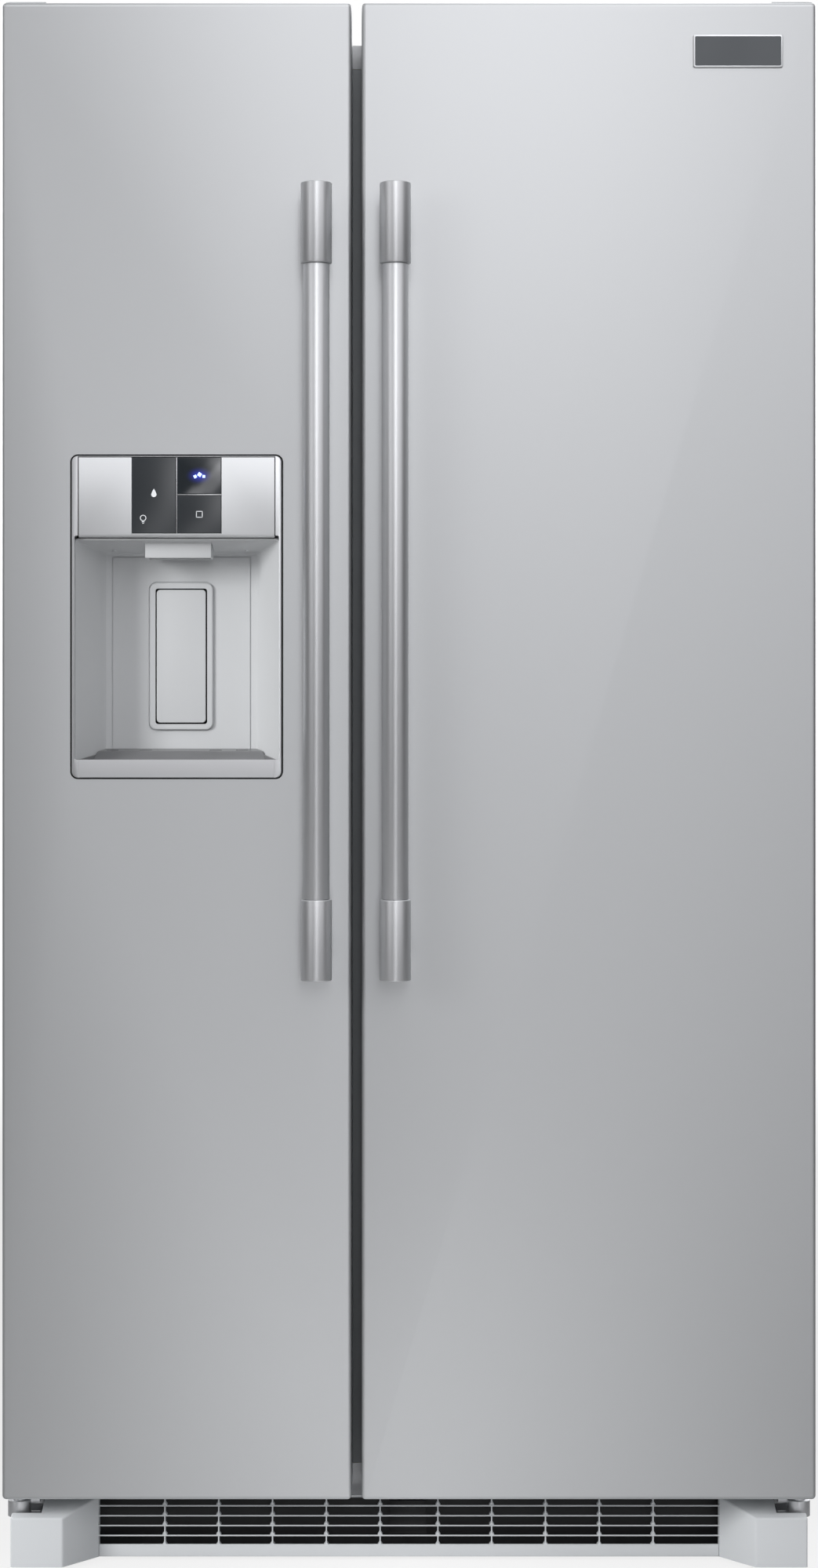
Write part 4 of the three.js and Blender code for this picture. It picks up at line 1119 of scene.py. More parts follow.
class FRIDGE_OT_badge(bpy.types.Operator):
    """Frame the blank name plate"""

    bl_idname = "fridge.badge"
    bl_label = "Name plate"

    def execute(self, context):
        low, high = low_high("badge")
        plate = rounded_plate("name_plate_frame", low, high, 2.2 * MM, 5)
        round_edges(plate, 0.7 * MM, 3, lies(Y, low.y))
        cut(plate, rounded_plate(
            "well", low + mm(2, -1, 2), (high.x - 2 * MM, low.y + 0.9 * MM, high.z - 2 * MM), 1.2 * MM, 4
        ))
        complete(plate, "fridge_door", "badge_metal", stands_for=("badge",))
        panel = rounded_plate(
            "name_plate_panel", low + mm(2.1, 0.45, 2.1),
            (high.x - 2.1 * MM, low.y + 0.85 * MM, high.z - 2.1 * MM), 1.1 * MM, 4,
        )
        complete(panel, "fridge_door", "badge_metal", "badge_panel")
        return {"FINISHED"}


# ---------------------------------------------------------------- toe grille
class FRIDGE_PG_grille(bpy.types.PropertyGroup):
    louvres: IntProperty(name="Louvres", description="Rows of louvres", default=5, min=1)
    pitch: FloatProperty(
        name="Louvre pitch", description="Height from one louvre to the next",
        default=11.3 * MM, **LENGTH)
    rib_pitch: FloatProperty(
        name="Rib pitch", description="Distance between the upright ribs",
        default=61.3 * MM, **LENGTH)
    centre_bay: FloatProperty(
        name="Centre bay", description="Distance between the two middle ribs",
        default=65.8 * MM, **LENGTH)


FOOT_WIDTH = 58.6 * MM
SPLAY_WIDTH = 36.7 * MM
LOUVRE_DEPTH = 14 * MM


def louvres(sizes, mouth, face, floor):
    """Louvres, ribs with their flared feet, and the kick band."""
    band_top = floor + 14 * MM
    band = across("band", 0, mouth, (face, face + 2.5 * MM), (floor, band_top))
    parts = [round_edges(band, 1.0 * MM, 3, lies(Y, face))]
    for row in range(1, sizes.louvres + 1):
        z = band_top + row * sizes.pitch - 2.2 * MM
        blade = across("blade", 0, mouth + 1 * MM, (face, face + LOUVRE_DEPTH), (z, z + 1.6 * MM))
        round_edges(blade, 0.65 * MM, 3, lies(Y, face))
        choose(blade, "FACE", faces_to(Y, 1))
        bpy.ops.transform.translate(value=(0, 0, -3.2 * MM))
        object_mode()
        parts.append(blade)
    top = band_top + sizes.louvres * sizes.pitch - 1 * MM
    deep, tall = (face + 1 * MM, face + LOUVRE_DEPTH - 1 * MM), (floor + 6 * MM, top)
    for at in range(5):
        for side in (-1, 1):
            x = side * (sizes.centre_bay / 2 + at * sizes.rib_pitch)
            parts.append(across("rib", x, 0.65 * MM, deep, tall))
            for row in range(sizes.louvres):
                z = band_top + row * sizes.pitch - (0.6 * MM if row else 1 * MM)
                foot = across("foot", x, 2.8 * MM, (face + 0.8 * MM, face + 9 * MM), (z, z + 3 * MM))
                choose(foot, "FACE", faces_to(Z, 1))
                bpy.ops.transform.resize(value=(0.24, 1, 1), center_override=(x, face, z))
                object_mode()
                parts.append(foot)
    complete(
        join("grille_louvres", parts), "cabinet", "grille_plastic", stands_for=("toe_grille",), smooth=40
    )


def corner_foot(side, mouth, face, low, high):
    """A hollow foot block whose inner side splays back to the louvres."""
    outer, deep, foot_top = high.x, face + LOUVRE_DEPTH, 59 * MM
    inner = outer - FOOT_WIDTH
    foot = block("corner_foot_right", (mouth, low.y, low.z), (outer, deep, high.z + 8 * MM))
    edit_all(foot)
    splay = Vector((low.y - face, mouth - inner, 0)).normalized()
    sloped = Vector((0, -0.3, 1)).normalized()
    for place, normal in (((inner, low.y, 0), splay), ((outer, low.y, foot_top), sloped)):
        bpy.ops.mesh.select_all(action="SELECT")
        bpy.ops.mesh.bisect(plane_co=place, plane_no=normal, use_fill=True, clear_outer=True)
    object_mode()
    open_faces(foot, either(faces_to(Z, -1), faces_to(Y, 1)))
    round_edges(foot, 2.2 * MM, 4, folded)
    walled(foot, 2.2 * MM)
    cut(foot, block(
        "notch", (outer - 34 * MM, low.y + 11.5 * MM, foot_top - 9 * MM),
        (outer + 1 * MM, deep + 1 * MM, 0.09),
    ))
    if side < 0:
        mirrored(foot, "corner_foot_left")
    complete(foot, "cabinet", "grille_plastic")


class FRIDGE_OT_grille(bpy.types.Operator):
    """Mould the toe grille with its louvres, ribs and splayed corner feet"""

    bl_idname = "fridge.grille"
    bl_label = "Toe grille"

    def execute(self, context):
        low, high = low_high("toe_grille")
        face = low.y + 45.5 * MM
        mouth = high.x - FOOT_WIDTH - SPLAY_WIDTH
        louvres(context.scene.fridge_grille, mouth, face, low.z)
        for side in (-1, 1):
            corner_foot(side, mouth, face, low, high)
        return {"FINISHED"}


# ---------------------------------------------------------------- hinges
class FRIDGE_OT_hinges(bpy.types.Operator):
    """Finish the door hinges and the covers over the upper ones"""

    bl_idname = "fridge.hinges"
    bl_label = "Hinges"

    def execute(self, context):
        for door in DOORS:
            for kind, slot, width, segments in (
                ("upper_hinge", "hinge_steel", 0.5, 2),
                ("lower_hinge", "hinge_steel", 0.9, 3),
                ("hinge_cover", "grey_plastic", 2.0, 3),
            ):
                softened(f"{kind}_{door}", f"{door}_{kind}", "cabinet", slot, width, segments)
            low, high = low_high(f"hinge_cover_{door}")
            spot = Vector(((low.x + high.x) / 2, high.y - 22 * MM, high.z - 0.3 * MM))
            top = spot + mm(0, 0, 1.8)
            head = rod(f"{door}_hinge_cover_screw", 4 * MM, spot, top, 24)
            round_edges(head, 1.0 * MM, 3, lies(Z, top.z))
            half = mm(2.6, 0.5, 0.8)
            cut(head, block("slot", top - half, top + half))
            complete(head, "cabinet", "hinge_steel")
        return {"FINISHED"}


# ---------------------------------------------------------------- cabinet
def rear_screw(name, x, z, back):
    head = rod(name, 4.2 * MM, (x, back - 0.5 * MM, z), (x, back + 1.8 * MM, z), 20)
    round_edges(head, 0.9 * MM, 2, lies(Y, back + 1.8 * MM))
    for wide, tall in ((2.8 * MM, 0.5 * MM), (0.5 * MM, 2.8 * MM)):
        cut(head, across("slot", x, wide, (back + 1.1 * MM, back + 3 * MM), (z - tall, z + tall)))
    complete(head, "cabinet", "zinc_sheet", "hinge_steel")


def rear_sheet():
    """The galvanised back: pressed ribs, screws, and slots that air the compressor space."""
    low, high = low_high("rear_panel")
    back = high.y
    sheet = soften(node_copy("rear_panel", "rear_sheet"), 0.25 * MM)
    slots = []
    for x in (-0.29, 0.0, 0.29):
        for row in range(12):
            z = 0.105 + row * 16 * MM
            slots.append(across("slot", x, 95 * MM, (back - 5 * MM, back + 5 * MM), (z, z + 6 * MM)))
    cut(sheet, join("slots", slots))
    complete(sheet, "cabinet", "zinc_sheet", stands_for=("rear_panel",))
    for row in range(5):
        z = 0.52 + row * 0.24
        rib = rounded_plate(
            f"rear_rib_{row + 1}", (low.x + 0.09, back - 0.6 * MM, z),
            (high.x - 0.09, back + 2.2 * MM, z + 24 * MM), 11 * MM, 6,
        )
        round_edges(rib, 1.6 * MM, 3, lies(Y, back + 2.2 * MM))
        complete(rib, "cabinet", "zinc_sheet")
    for side, word in ((-1, "left"), (1, "right")):
        for row, z in enumerate((0.09, 0.36, 0.7, 1.04, 1.38, 1.7)):
            rear_screw(f"rear_screw_{word}_{row + 1}", side * 0.43, z, back)


def thread_groove(centre, radius):
    """A thin ring about Y that cuts one turn of a thread."""
    half = mm(0, 0.4, 0)
    groove = rod("groove", radius + 1 * MM, centre - half, centre + half, 32)
    return cut(groove, rod("core", radius - 0.8 * MM, centre - 2 * half, centre + 2 * half, 32))


def rear_inlets():
    """The water inlet with its threaded stub, and the gland where the mains lead enters."""
    spot = Vector((-0.36, low_high("rear_panel")[1].y, 0.40))
    body = rounded_plate("water_inlet", spot - mm(24, 0.4, 17), spot + mm(24, 4, 17), 5 * MM, 5)
    complete(soften(body, 0.8 * MM), "cabinet", "black_plastic")
    stub = rod("water_inlet_stub", 8 * MM, spot + mm(0, 3, 0), spot + mm(0, 9, 0), 32)
    bore = rod("bore", 5 * MM, spot + mm(0, 5, 0), spot + mm(0, 12, 0), 24)
    cut(stub, bore, *[thread_groove(spot + mm(0, deep, 0), 8 * MM) for deep in (5.2, 6.7, 8.2)])
    complete(stub, "cabinet", "zinc_sheet", "copper_pipe")
    spot.x = 0.36
    gland = rod("mains_gland", 13 * MM, spot - mm(0, 0.4, 0), spot + mm(0, 6, 0), 40)
    round_edges(gland, 1.6 * MM, 3, lies(Y, spot.y + 6 * MM))
    cut(gland, rod("bore", 6 * MM, spot + mm(0, 1.5, 0), spot + mm(0, 9, 0), 24))
    complete(gland, "cabinet", "black_plastic")


class FRIDGE_OT_cabinet(bpy.types.Operator):
    """Wrap the cabinet: shell, foam, mullion strip and back with its inlets"""

    bl_idname = "fridge.cabinet"
    bl_label = "Cabinet"

    def execute(self, context):
        softened("cabinet_shell", "cabinet_wrap", "cabinet", "cabinet_paint", 1.6, 3)
        softened("mullion_strip", "centre_strip", "cabinet", "mullion_paint", 0.3)
        softened("cabinet_foam", "wall_foam", "cabinet", "foam", 1.0)
        rear_sheet()
        rear_inlets()
        return {"FINISHED"}


# ---------------------------------------------------------------- compartments
def slotted_track(name, x, back, low_z, high_z):
    """A steel strip with hook slots, which carries the shelves."""
    strip = across(name, x, 9 * MM, (back - 2.6 * MM, back - 0.2 * MM), (low_z, high_z))
    pitch = 26 * MM
    slots = []
    for row in range(int((high_z - low_z - 20 * MM) / pitch)):
        z = low_z + 14 * MM + row * pitch
        slots.append(across("slot", x, 1.8 * MM, (back - 4 * MM, back - 0.8 * MM), (z, z + 14 * MM)))
    cut(strip, join("slots", slots))
    complete(soften(strip, 0.4 * MM), "cabinet", "zinc_sheet")


def louvred_cover(name, x, half, y, z, rows, slot_half):
    """A moulded cover over the cold-air duct, with rows of air slots near both ends."""
    cover = rounded(across(name, x, half, y, z), 14 * MM, 6)
    round_edges(cover, 3.5 * MM, 4, lies(Y, y[0]))
    slots = []
    for row in range(rows):
        for base in (z[0] + 30 * MM + row * 13 * MM, z[1] - 36 * MM - row * 13 * MM):
            deep = (y[0] - 1 * MM, y[0] + 4 * MM)
            slots.append(across("slot", x, slot_half, deep, (base, base + 6 * MM)))
    cut(cover, join("slots", slots))
    complete(cover, "cabinet", "liner_plastic")


def lamp(name, x, ceiling):
    """A frosted lens let into the ceiling."""
    base = ceiling - 7 * MM
    lens = across(name, x, 75 * MM, (-0.075, 0.015), (base, ceiling + 1 * MM))
    round_edges(lens, 9 * MM, 5, runs(Z))
    round_edges(lens, 3 * MM, 4, lies(Z, base))
    complete(lens, "cabinet", "clear_plastic", "lamp_lens")


class FRIDGE_OT_compartments(bpy.types.Operator):
    """Form the two food compartments, with their lamps, air ducts and shelf tracks"""

    bl_idname = "fridge.compartments"
    bl_label = "Compartments"

    def execute(self, context):
        for room in DOORS:
            node = f"{room}_liner"
            softened(node, f"{room}_compartment", "cabinet", "liner_plastic", 3.5, 3)
            low, high = low_high(node)
            ceiling = high.z - 9.5 * MM
            inset = 62 * MM
            for side, x in (("left", low.x + inset), ("right", high.x - inset)):
                slotted_track(f"{room}_track_{side}", x, high.y - 3 * MM, 0.41, ceiling - 30 * MM)
            lamp(f"{room}_lamp", (low.x + high.x) / 2, ceiling)
        back = low_high("fridge_liner")[1].y - 3.2 * MM
        x = middle("fridge_liner").x
        louvred_cover("fridge_air_duct", x, 62 * MM, (back - 16 * MM, back), (1.25, 1.63), 5, 45 * MM)
        x = middle("freezer_liner").x
        louvred_cover("evaporator_cover", x, 82 * MM, (back - 9 * MM, back), (0.43, 1.27), 7, 60 * MM)
        return {"FINISHED"}


# ---------------------------------------------------------------- shelves, drawers and ice
def glass_shelf(node, name, height=None):
    """A moulded frame around a plate of safety glass, at the node's height or at another."""
    low, high = low_high(node)
    rise = Vector((0, 0, 0 if height is None else height - low.z))
    rim = node_copy(node, f"{name}_frame")
    rim.data.transform(Matrix.Translation(rise))
    soften(rim, 1.6 * MM, 3)
    complete(rim, "cabinet", "clear_plastic", "liner_plastic", (node,) if height is None else ())
    plate = block(
        f"{name}_glass", Vector((low.x + 11 * MM, low.y + 11 * MM, high.z - 4.6 * MM)) + rise,
        high - mm(11, 11, 0.6) + rise,
    )
    complete(soften(plate, 0.5 * MM), "cabinet", "clear_plastic", "shelf_glass")


class FRIDGE_OT_shelves(bpy.types.Operator):
    """Frame the glass shelves"""

    bl_idname = "fridge.shelves"
    bl_label = "Shelves"

    def execute(self, context):
        for node in ("fridge_shelf_upper", "fridge_shelf_lower", "freezer_shelf"):
            glass_shelf(node, node)
        for node, name, height in (
            ("fridge_shelf_upper", "fridge_shelf_deli", 0.462),
            ("fridge_shelf_upper", "fridge_shelf_middle", 0.71),
            ("fridge_shelf_upper", "fridge_shelf_top", 1.215),
            ("freezer_shelf", "freezer_shelf_low", 0.52),
            ("freezer_shelf", "freezer_shelf_middle", 0.78),
            ("freezer_shelf", "freezer_shelf_high", 1.04),
        ):
            glass_shelf(node, name, height)
        return {"FINISHED"}


def drawer_trim(node):
    """A white band with a finger scoop, along the top of a drawer's front."""
    low, high = low_high(node)
    trim = block(
        f"{node}_trim", (low.x + 2 * MM, low.y - 1.6 * MM, high.z - 30 * MM),
        (high.x - 2 * MM, low.y + 1.2 * MM, high.z + 0.4 * MM),
    )
    radius, through = 0.16, 10 * MM
    x, z = (low.x + high.x) / 2, high.z + radius - 12 * MM
    cut(trim, rod("scoop", radius, (x, low.y - through, z), (x, low.y + through, z), 96))
    complete(soften(trim, 0.7 * MM), node, "clear_plastic", "liner_plastic")


class FRIDGE_OT_drawers(bpy.types.Operator):
    """Mould the crisper, the deli drawer and the freezer basket"""

    bl_idname = "fridge.drawers"
    bl_label = "Drawers"

    def execute(self, context):
        for node, finish in (
            ("crisper_drawer", "clear_plastic"),
            ("deli_drawer", "clear_plastic"),
            ("freezer_basket", "liner_plastic"),
        ):
            softened(node, f"{node}_tub", node, finish, 2.2, 3)
            drawer_trim(node)
        return {"FINISHED"}


def ice_auger():
    """The spiral that pushes ice to the front of the bucket, on its shaft."""
    low, high = low_high("ice_bucket")
    x, z = (low.x + high.x) / 2, low.z + 42 * MM
    start, end = low.y + 24 * MM, high.y - 24 * MM
    radius, turns, steps = 28 * MM, 6, 24
    points = []
    for step in range(turns * steps + 1):
        angle = 2 * math.pi * step / steps
        y = start + (end - start) * step / (turns * steps)
        points.append((x + radius * math.cos(angle), y, z + radius * math.sin(angle)))
    complete(
        tube("ice_auger_spiral", points, 3.2 * MM), "ice_bucket", "clear_plastic", "handle_steel"
    )
    shaft = rod("ice_auger_shaft", 5 * MM, (x, start - 12 * MM, z), (x, end + 12 * MM, z), 24)
    weld(shaft, *[rod("spoke", 2.2 * MM, (x, y, z), (x + radius, y, z), 12) for y in (start, end)])
    complete(shaft, "ice_bucket", "clear_plastic", "handle_steel")


class FRIDGE_OT_ice(bpy.types.Operator):
    """Mould the ice bucket with its auger, and the ice maker with its feeler arm"""

    bl_idname = "fridge.ice"
    bl_label = "Ice"

    def execute(self, context):
        softened("ice_bucket", "ice_bucket_tub", "ice_bucket", "clear_plastic", 2.5, 3)
        drawer_trim("ice_bucket")
        ice_auger()
        softened("ice_maker", "ice_maker_body", "cabinet", "liner_plastic", 1.5, 3)
        low, high = low_high("ice_maker")
        out, back, front = high.x + 6 * MM, low.y + 40 * MM, low.y - 28 * MM
        top, base = low.z + 40 * MM, low.z + 6 * MM
        feeler = tube("ice_feeler_arm", (
            (high.x - 1 * MM, back, top), (out, back, top), (out, front, base),
            (low.x + 30 * MM, front, base),
        ), 1.8 * MM, 10 * MM)
        complete(feeler, "cabinet", "zinc_sheet", "handle_steel")
        return {"FINISHED"}


# ---------------------------------------------------------------- machine and base
def condenser(low, high):
    """Three layers of bent steel pipe that pass through thin fins."""
    pitch = 24 * MM
    layers = []
    for layer in range(3):
        y = low.y + (high.y - low.y) * (layer + 0.5) / 3
        points = []
        for row in range(int((high.z - low.z) / pitch) + 1):
            z = low.z + 8 * MM + row * pitch
            for x in (high.x, low.x) if row % 2 else (low.x, high.x):
                points.append((x, y, z))
        layers.append(tube("condenser_pipe", points, 2.8 * MM, 11.9 * MM))
    complete(join("condenser_pipe", layers), "cabinet", "black_metal")
    edge, gaps = 18 * MM, 14
    fins = []
    for at in range(gaps + 1):
        x = low.x + edge + at * (high.x - low.x - 2 * edge) / gaps
        fins.append(across("fin", x, 0.4 * MM, (low.y, high.y), (low.z, high.z)))
    complete(join("condenser_fins", fins), "cabinet", "zinc_sheet")


def drain_pan(low, high):
    """A shallow pan that catches the water of the defrost."""
    pan = block("drain_pan", low, high)
    choose(pan, "FACE", faces_to(Z, 1))
    bpy.ops.mesh.inset(thickness=3 * MM)
    bpy.ops.transform.translate(value=(0, 0, low[2] - high[2] + 2.5 * MM))
    object_mode()
    complete(soften(pan, 0.8 * MM), "cabinet", "black_plastic")


def fan_motor():
    """The motor behind the fan, with the two arms that hold it."""
    low, high = low_high("condenser_fan")
    y, z = (low.y + high.y) / 2, (low.z + high.z) / 2
    start, end, arms = high.x + 1 * MM, high.x + 36 * MM, high.x + 20 * MM
    motor = rod("fan_motor", 19 * MM, (start, y, z), (end, y, z), 40)
    parts = [round_edges(motor, 3 * MM, 3, either(lies(X, start), lies(X, end)))]
    for aside in (-30 * MM, 30 * MM):
        parts.append(tube("arm", ((arms, y, z), (arms, y + aside, low.z + 6 * MM)), 2.5 * MM))
    complete(join("fan_motor", parts), "cabinet", "black_plastic")


class FRIDGE_OT_machine(bpy.types.Operator):
    """Finish the compressor, its pipes, the condenser, the drain pan and the fan"""

    bl_idname = "fridge.machine"
    bl_label = "Compressor and fan"

    def execute(self, context):
        softened("compressor", "compressor_pot", "cabinet", "black_metal", 4, 3)
        softened("condenser_fan", "fan_wheel", "condenser_fan", "black_plastic", 1.0)
        fan_motor()
        low, high = Vector((0.03, 0.222, 0.10)), Vector((0.37, 0.352, 0.29))
        condenser(low, high)
        drain_pan((0.02, 0.212, 0.072), (0.38, 0.362, 0.092))
        pot = middle("compressor")
        top = low_high("compressor")[1].z - 14 * MM
        over, under = 0.225, low.z + 8 * MM
        start, down = pot.x + 30 * MM, low.x - 20 * MM
        pipe = tube("discharge_pipe", (
            (start, pot.y, top), (start, pot.y, over), (down, pot.y, over), (down, pot.y, under),
            (low.x + 4 * MM, pot.y, under),
        ), 3 * MM, 14 * MM)
        complete(pipe, "cabinet", "black_metal", "copper_pipe")
        return {"FINISHED"}


def air_baffle():
    """A sheet behind the front bar that keeps the warm air off the louvres, coloured near-black as
    painted shadow in the space behind them.
    """
    low, high = low_high("base_frame")
    half = low_high("toe_grille")[1].x - 60 * MM
    front = low.y + 15 * MM
    sheet = across("air_baffle", 0, half, (front, front + 1.5 * MM), (6 * MM, high.z - 1 * MM))
    complete(soften(sheet, 0.4 * MM), "cabinet", "black_metal", "painted_shadow")


class FRIDGE_OT_base(bpy.types.Operator):
    """Finish the base frame, the rollers and the levelling legs"""

    bl_idname = "fridge.base"
    bl_label = "Base"

    def execute(self, context):
        # The base rails take the black finish instead of zinc as painted shadow, so the space behind the
        # louvres reads dark.
        softened("base_frame", "base_rails", "cabinet", "black_metal", 0.6)
        air_baffle()
        softened("rear_rollers", "rear_wheels", "rear_rollers", "roller_plastic", 1.5)
        for side in ("left", "right"):
            roller, leg = f"front_roller_{side}", f"levelling_leg_{side}"
            softened(roller, f"front_wheel_{side}", roller, "roller_plastic", 1.5)
            softened(leg, f"leg_{side}", leg, "hinge_steel", 0.8)
        return {"FINISHED"}


# ---------------------------------------------------------------- studio
FLOOR_RADIUS = 3.4
FLOOR_GLOW = 0.75  # how far the floor is already lifted to white under the object
FLOOR_CENTRE = (0, 1.7, 0)
# The room the steel mirrors, in three soft bands, low, middle and high. Each has its
# (sine of the angle, brightness) stops upward, and then across.
ROOM_BANDS = (
    (
        ((-1, 0.4), (-0.3, 1.1), (-0.12, 1.45), (0.02, 0.0)),
        (
            (-1, 0.05), (-0.6, 0.2), (-0.3, 0.0), (-0.08, 0.0), (0.0, 1.5), (0.05, 1.55),
            (0.13, 0.3), (0.3, 0.0), (0.6, 0.2), (1, 0.05),
        ),
    ),
    (
        ((-0.12, 0.0), (0.01, 1.25), (0.1, 1.25), (0.3, 1.8), (0.6, 1.4), (1, 0.8)),
        (
            (-1, 0.0), (-0.9, 0.02), (-0.74, 0.55), (-0.5, 0.5), (-0.36, 0.0), (-0.15, 0.0),
            (-0.04, 0.0), (0.04, 1.5), (0.12, 1.5), (0.2, 0.3), (0.3, 0.1), (0.48, 0.42),
            (0.74, 0.44), (0.9, 0.02), (1, 0.0),
        ),
    ),
    (
        ((0.08, 0.0), (0.18, 0.5), (0.3, 1.5), (0.6, 1.1), (1, 0.6)),
        (
            (-1, 0.1), (-0.4, 0.1), (-0.14, 0.4), (-0.03, 1.5), (0.03, 1.3), (0.1, 0.65),
            (0.4, 0.3), (1, 0.1),
        ),
    ),
)


class FRIDGE_PG_studio(bpy.types.PropertyGroup):
    eye_height: FloatProperty(
        name="Eye height", description="Camera above the floor", default=0.95, **LENGTH)
    distance: FloatProperty(
        name="Distance", description="Camera to the door fronts", default=3.5, **LENGTH)
    lens: FloatProperty(
        name="Focal length", description="Focal length in millimetres on a 36 mm long side",
        default=71.78, min=1, subtype="DISTANCE_CAMERA")
    drop: FloatProperty(name="Shift", description="Vertical shift of the view", default=-0.037)
    ambient: FloatProperty(
        name="Ambient", description="Brightness of the room around the object", default=1.0, min=0)


def camera(sizes):
    data = bpy.data.cameras.new("front_view")
    data.lens = sizes.lens
    data.sensor_fit = "VERTICAL"
    data.sensor_height = data.sensor_width = 36
    data.shift_y = sizes.drop
    data.clip_end = 60
    view = linked("front_view", data)
    view.location = (0, low_high("fridge_door_skin")[0].y - sizes.distance, sizes.eye_height)
    view.rotation_euler = (math.radians(90), 0, 0)
    bpy.context.scene.camera = view


def ramp(tree, source, stops):
    """A soft curve through (position, value) stops, over a source from -1 to 1."""
    spread = level(tree, source, 0.0, 1.0, -1.0, 1.0)
    curve = shader_node(tree, "ValToRGB", {"Fac": spread})
    curve.color_ramp.interpolation = "EASE"
    elements = curve.color_ramp.elements
    while len(elements) < len(stops):
        elements.new(0.5)
    for element, (position, value) in zip(elements, stops):
        element.position = (position + 1) / 2
        element.color = (value, value, value, 1)
    return curve.outputs["Color"]


def room(sizes):
    """White behind the object, and a soft room for the steel: bright in the middle and above."""
    world = bpy.context.scene.world = bpy.data.worlds.new("studio")
    world.use_nodes = True
    tree = world.node_tree
    tree.nodes.clear()
    direction = shader_node(tree, "TexCoord").outputs["Generated"]
    split = shader_node(tree, "SeparateXYZ", {0: direction}).outputs
    bands = [
        vectors(tree, "MULTIPLY", ramp(tree, split["Z"], upward), ramp(tree, split["X"], sideways))
        for upward, sideways in ROOM_BANDS
    ]
    total = vectors(tree, "ADD", vectors(tree, "ADD", bands[0], bands[1]), bands[2])
    cooled = vectors(tree, "MULTIPLY", total, (0.985, 0.985, 1.01))
    soft = shader_node(tree, "Background", {"Color": cooled, "Strength": sizes.ambient})
    white = shader_node(tree, "Background", {"Color": (1, 1, 1, 1), "Strength": 1.0})
    seen = shader_node(tree, "LightPath").outputs["Is Camera Ray"]
    mixed = shader_node(tree, "MixShader", {0: seen, 1: soft.outputs[0], 2: white.outputs[0]})
    shader_node(tree, "OutputWorld", {"Surface": mixed.outputs[0]})


def softbox(name, place, aim, width, height, power, mirrored_in_steel):
    data = bpy.data.lights.new(name, "AREA")
    data.shape = "RECTANGLE"
    data.size = width
    data.size_y = height
    data.energy = power
    light = linked(name, data)
    light.location = place
    light.rotation_euler = (Vector(aim) - Vector(place)).to_track_quat("-Z", "Y").to_euler()
    light.visible_glossy = mirrored_in_steel


def pale_floor():
    """A pale floor that fades to white towards its rim, with painted light: pale in the middle and
    darker to the sides, for the steel to mirror.
    """
    bpy.ops.object.select_all(action="DESELECT")
    bpy.ops.mesh.primitive_circle_add(
        vertices=96, radius=FLOOR_RADIUS, fill_type="NGON", location=FLOOR_CENTRE
    )
    floor = settled("floor")
    pale = moulded("floor_painted_light", (0.42, 0.42, 0.42), 0.6, 40, 0.02)
    tree = pale.tree
    away = shader_node(tree, "VectorMath", {0: pale.place, 1: FLOOR_CENTRE}, operation="DISTANCE")
    rim = level(tree, away.outputs["Value"], 0.0, 1.0, FLOOR_RADIUS * 0.45, FLOOR_RADIUS * 0.92)
    x = shader_node(tree, "SeparateXYZ", {0: pale.place}).outputs["X"]
    # Painted light: the floor is pale in the middle and darker to the sides, a pool that the doors
    # mirror.
    shade = level(tree, arithmetic(tree, "ABSOLUTE", x, 0.0), 0.85, 0.18, 0.0, 0.62)
    grey = {"Red": shade, "Green": shade, "Blue": shade}
    pale.put(Base_Color=shader_node(tree, "CombineColor", grey).outputs[0])
    seen = shader_node(tree, "LightPath").outputs["Is Camera Ray"]
    share = arithmetic(tree, "MULTIPLY", level(tree, rim, FLOOR_GLOW, 1.0, 0.0, 1.0), seen)
    white = shader_node(tree, "Emission", {"Color": (1, 1, 1, 1), "Strength": 1.0}).outputs[0]
    faded = shader_node(tree, "MixShader", {0: share, 1: pale.shader.outputs[0], 2: white})
    output = next(n for n in tree.nodes if n.type == "OUTPUT_MATERIAL")
    feed(tree, output.inputs["Surface"], faded.outputs[0])
    floor.data.materials.append(pale.material)


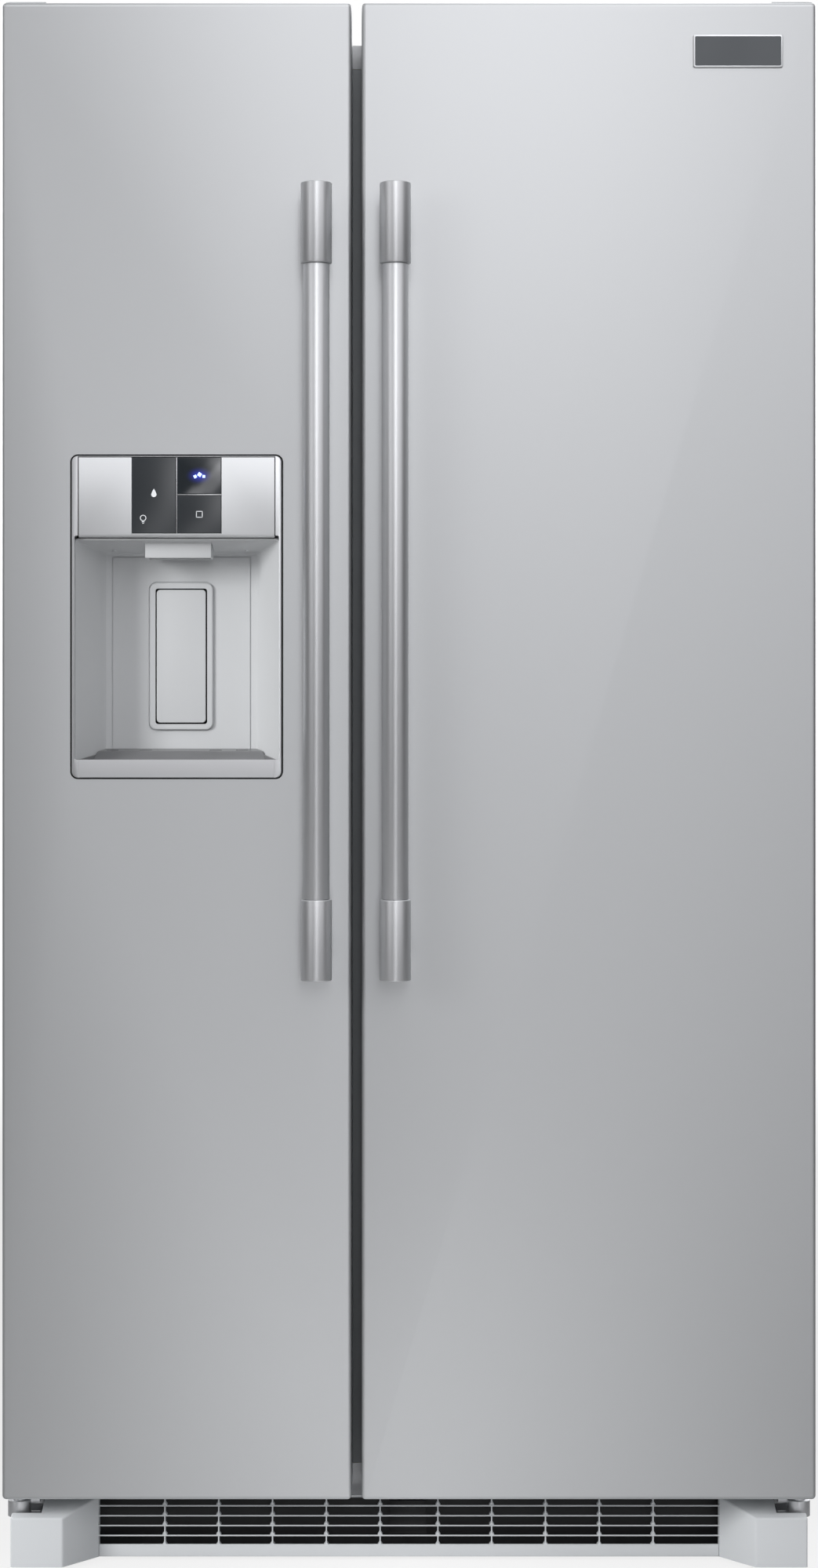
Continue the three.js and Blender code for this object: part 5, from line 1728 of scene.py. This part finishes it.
class FRIDGE_OT_studio(bpy.types.Operator):
    """Set the camera, the softboxes and the pale floor"""

    bl_idname = "fridge.studio"
    bl_label = "Studio"

    def execute(self, context):
        sizes = context.scene.fridge_studio
        camera(sizes)
        room(sizes)
        pale_floor()
        # name, place, aim, width, height, power, and whether the steel mirrors it
        for settings in (
            ("left_key", (-3.1, -2.9, 2.0), (0, -0.3, 0.9), 1.0, 1.6, 105, False),
            ("overhead", (0.3, -0.9, 4.4), (0, 0, 0.6), 3.4, 2.4, 12, False),
            ("left_side", (-4.2, 0.8, 1.8), (0, 0, 0.9), 1.4, 2.6, 20, False),
            ("right_side", (4.2, 0.9, 1.8), (0, 0, 0.9), 1.4, 2.6, 26, False),
            ("rear_left", (-2.8, 3.6, 2.4), (0, 0, 0.8), 2.2, 2.2, 45, True),
            ("rear_right", (2.8, 3.6, 2.4), (0, 0, 0.8), 2.2, 2.2, 45, True),
        ):
            softbox(*settings)
        context.scene.view_settings.view_transform = "Standard"
        context.scene.view_settings.look = "None"
        return {"FINISHED"}


# ---------------------------------------------------------------- panel
PIECES = (
    FRIDGE_OT_finishes, FRIDGE_OT_studio, FRIDGE_OT_doors, FRIDGE_OT_handles,
    FRIDGE_OT_dispenser, FRIDGE_OT_badge, FRIDGE_OT_grille, FRIDGE_OT_hinges,
    FRIDGE_OT_cabinet, FRIDGE_OT_door_insides, FRIDGE_OT_compartments, FRIDGE_OT_shelves,
    FRIDGE_OT_drawers, FRIDGE_OT_ice, FRIDGE_OT_machine, FRIDGE_OT_base,
)
SETTINGS = {
    "fridge_colours": FRIDGE_PG_colours,
    "fridge_doors": FRIDGE_PG_doors,
    "fridge_handles": FRIDGE_PG_handles,
    "fridge_dispenser": FRIDGE_PG_dispenser,
    "fridge_grille": FRIDGE_PG_grille,
    "fridge_studio": FRIDGE_PG_studio,
}


class FRIDGE_PT_panel(bpy.types.Panel):
    """Lists the sizes and the pieces, in the order in which they are made"""

    bl_idname = "FRIDGE_PT_panel"
    bl_label = "Refrigerator"
    bl_space_type = "VIEW_3D"
    bl_region_type = "UI"
    bl_category = "Refrigerator"

    def draw(self, context):
        for name, group in SETTINGS.items():
            column = self.layout.column(align=True)
            for setting in group.__annotations__:
                column.prop(getattr(context.scene, name), setting)
        for piece in PIECES:
            self.layout.operator(piece.bl_idname)


def register():
    for name, group in SETTINGS.items():
        bpy.utils.register_class(group)
        setattr(bpy.types.Scene, name, PointerProperty(type=group))
    for piece in PIECES + (FRIDGE_PT_panel,):
        bpy.utils.register_class(piece)


def unregister():
    for piece in (FRIDGE_PT_panel,) + PIECES[::-1]:
        bpy.utils.unregister_class(piece)
    for name, group in SETTINGS.items():
        delattr(bpy.types.Scene, name)
        bpy.utils.unregister_class(group)


def main():
    register()
    for piece in PIECES:
        group, action = piece.bl_idname.split(".")
        getattr(getattr(bpy.ops, group), action)()


if __name__ == "__main__":
    main()
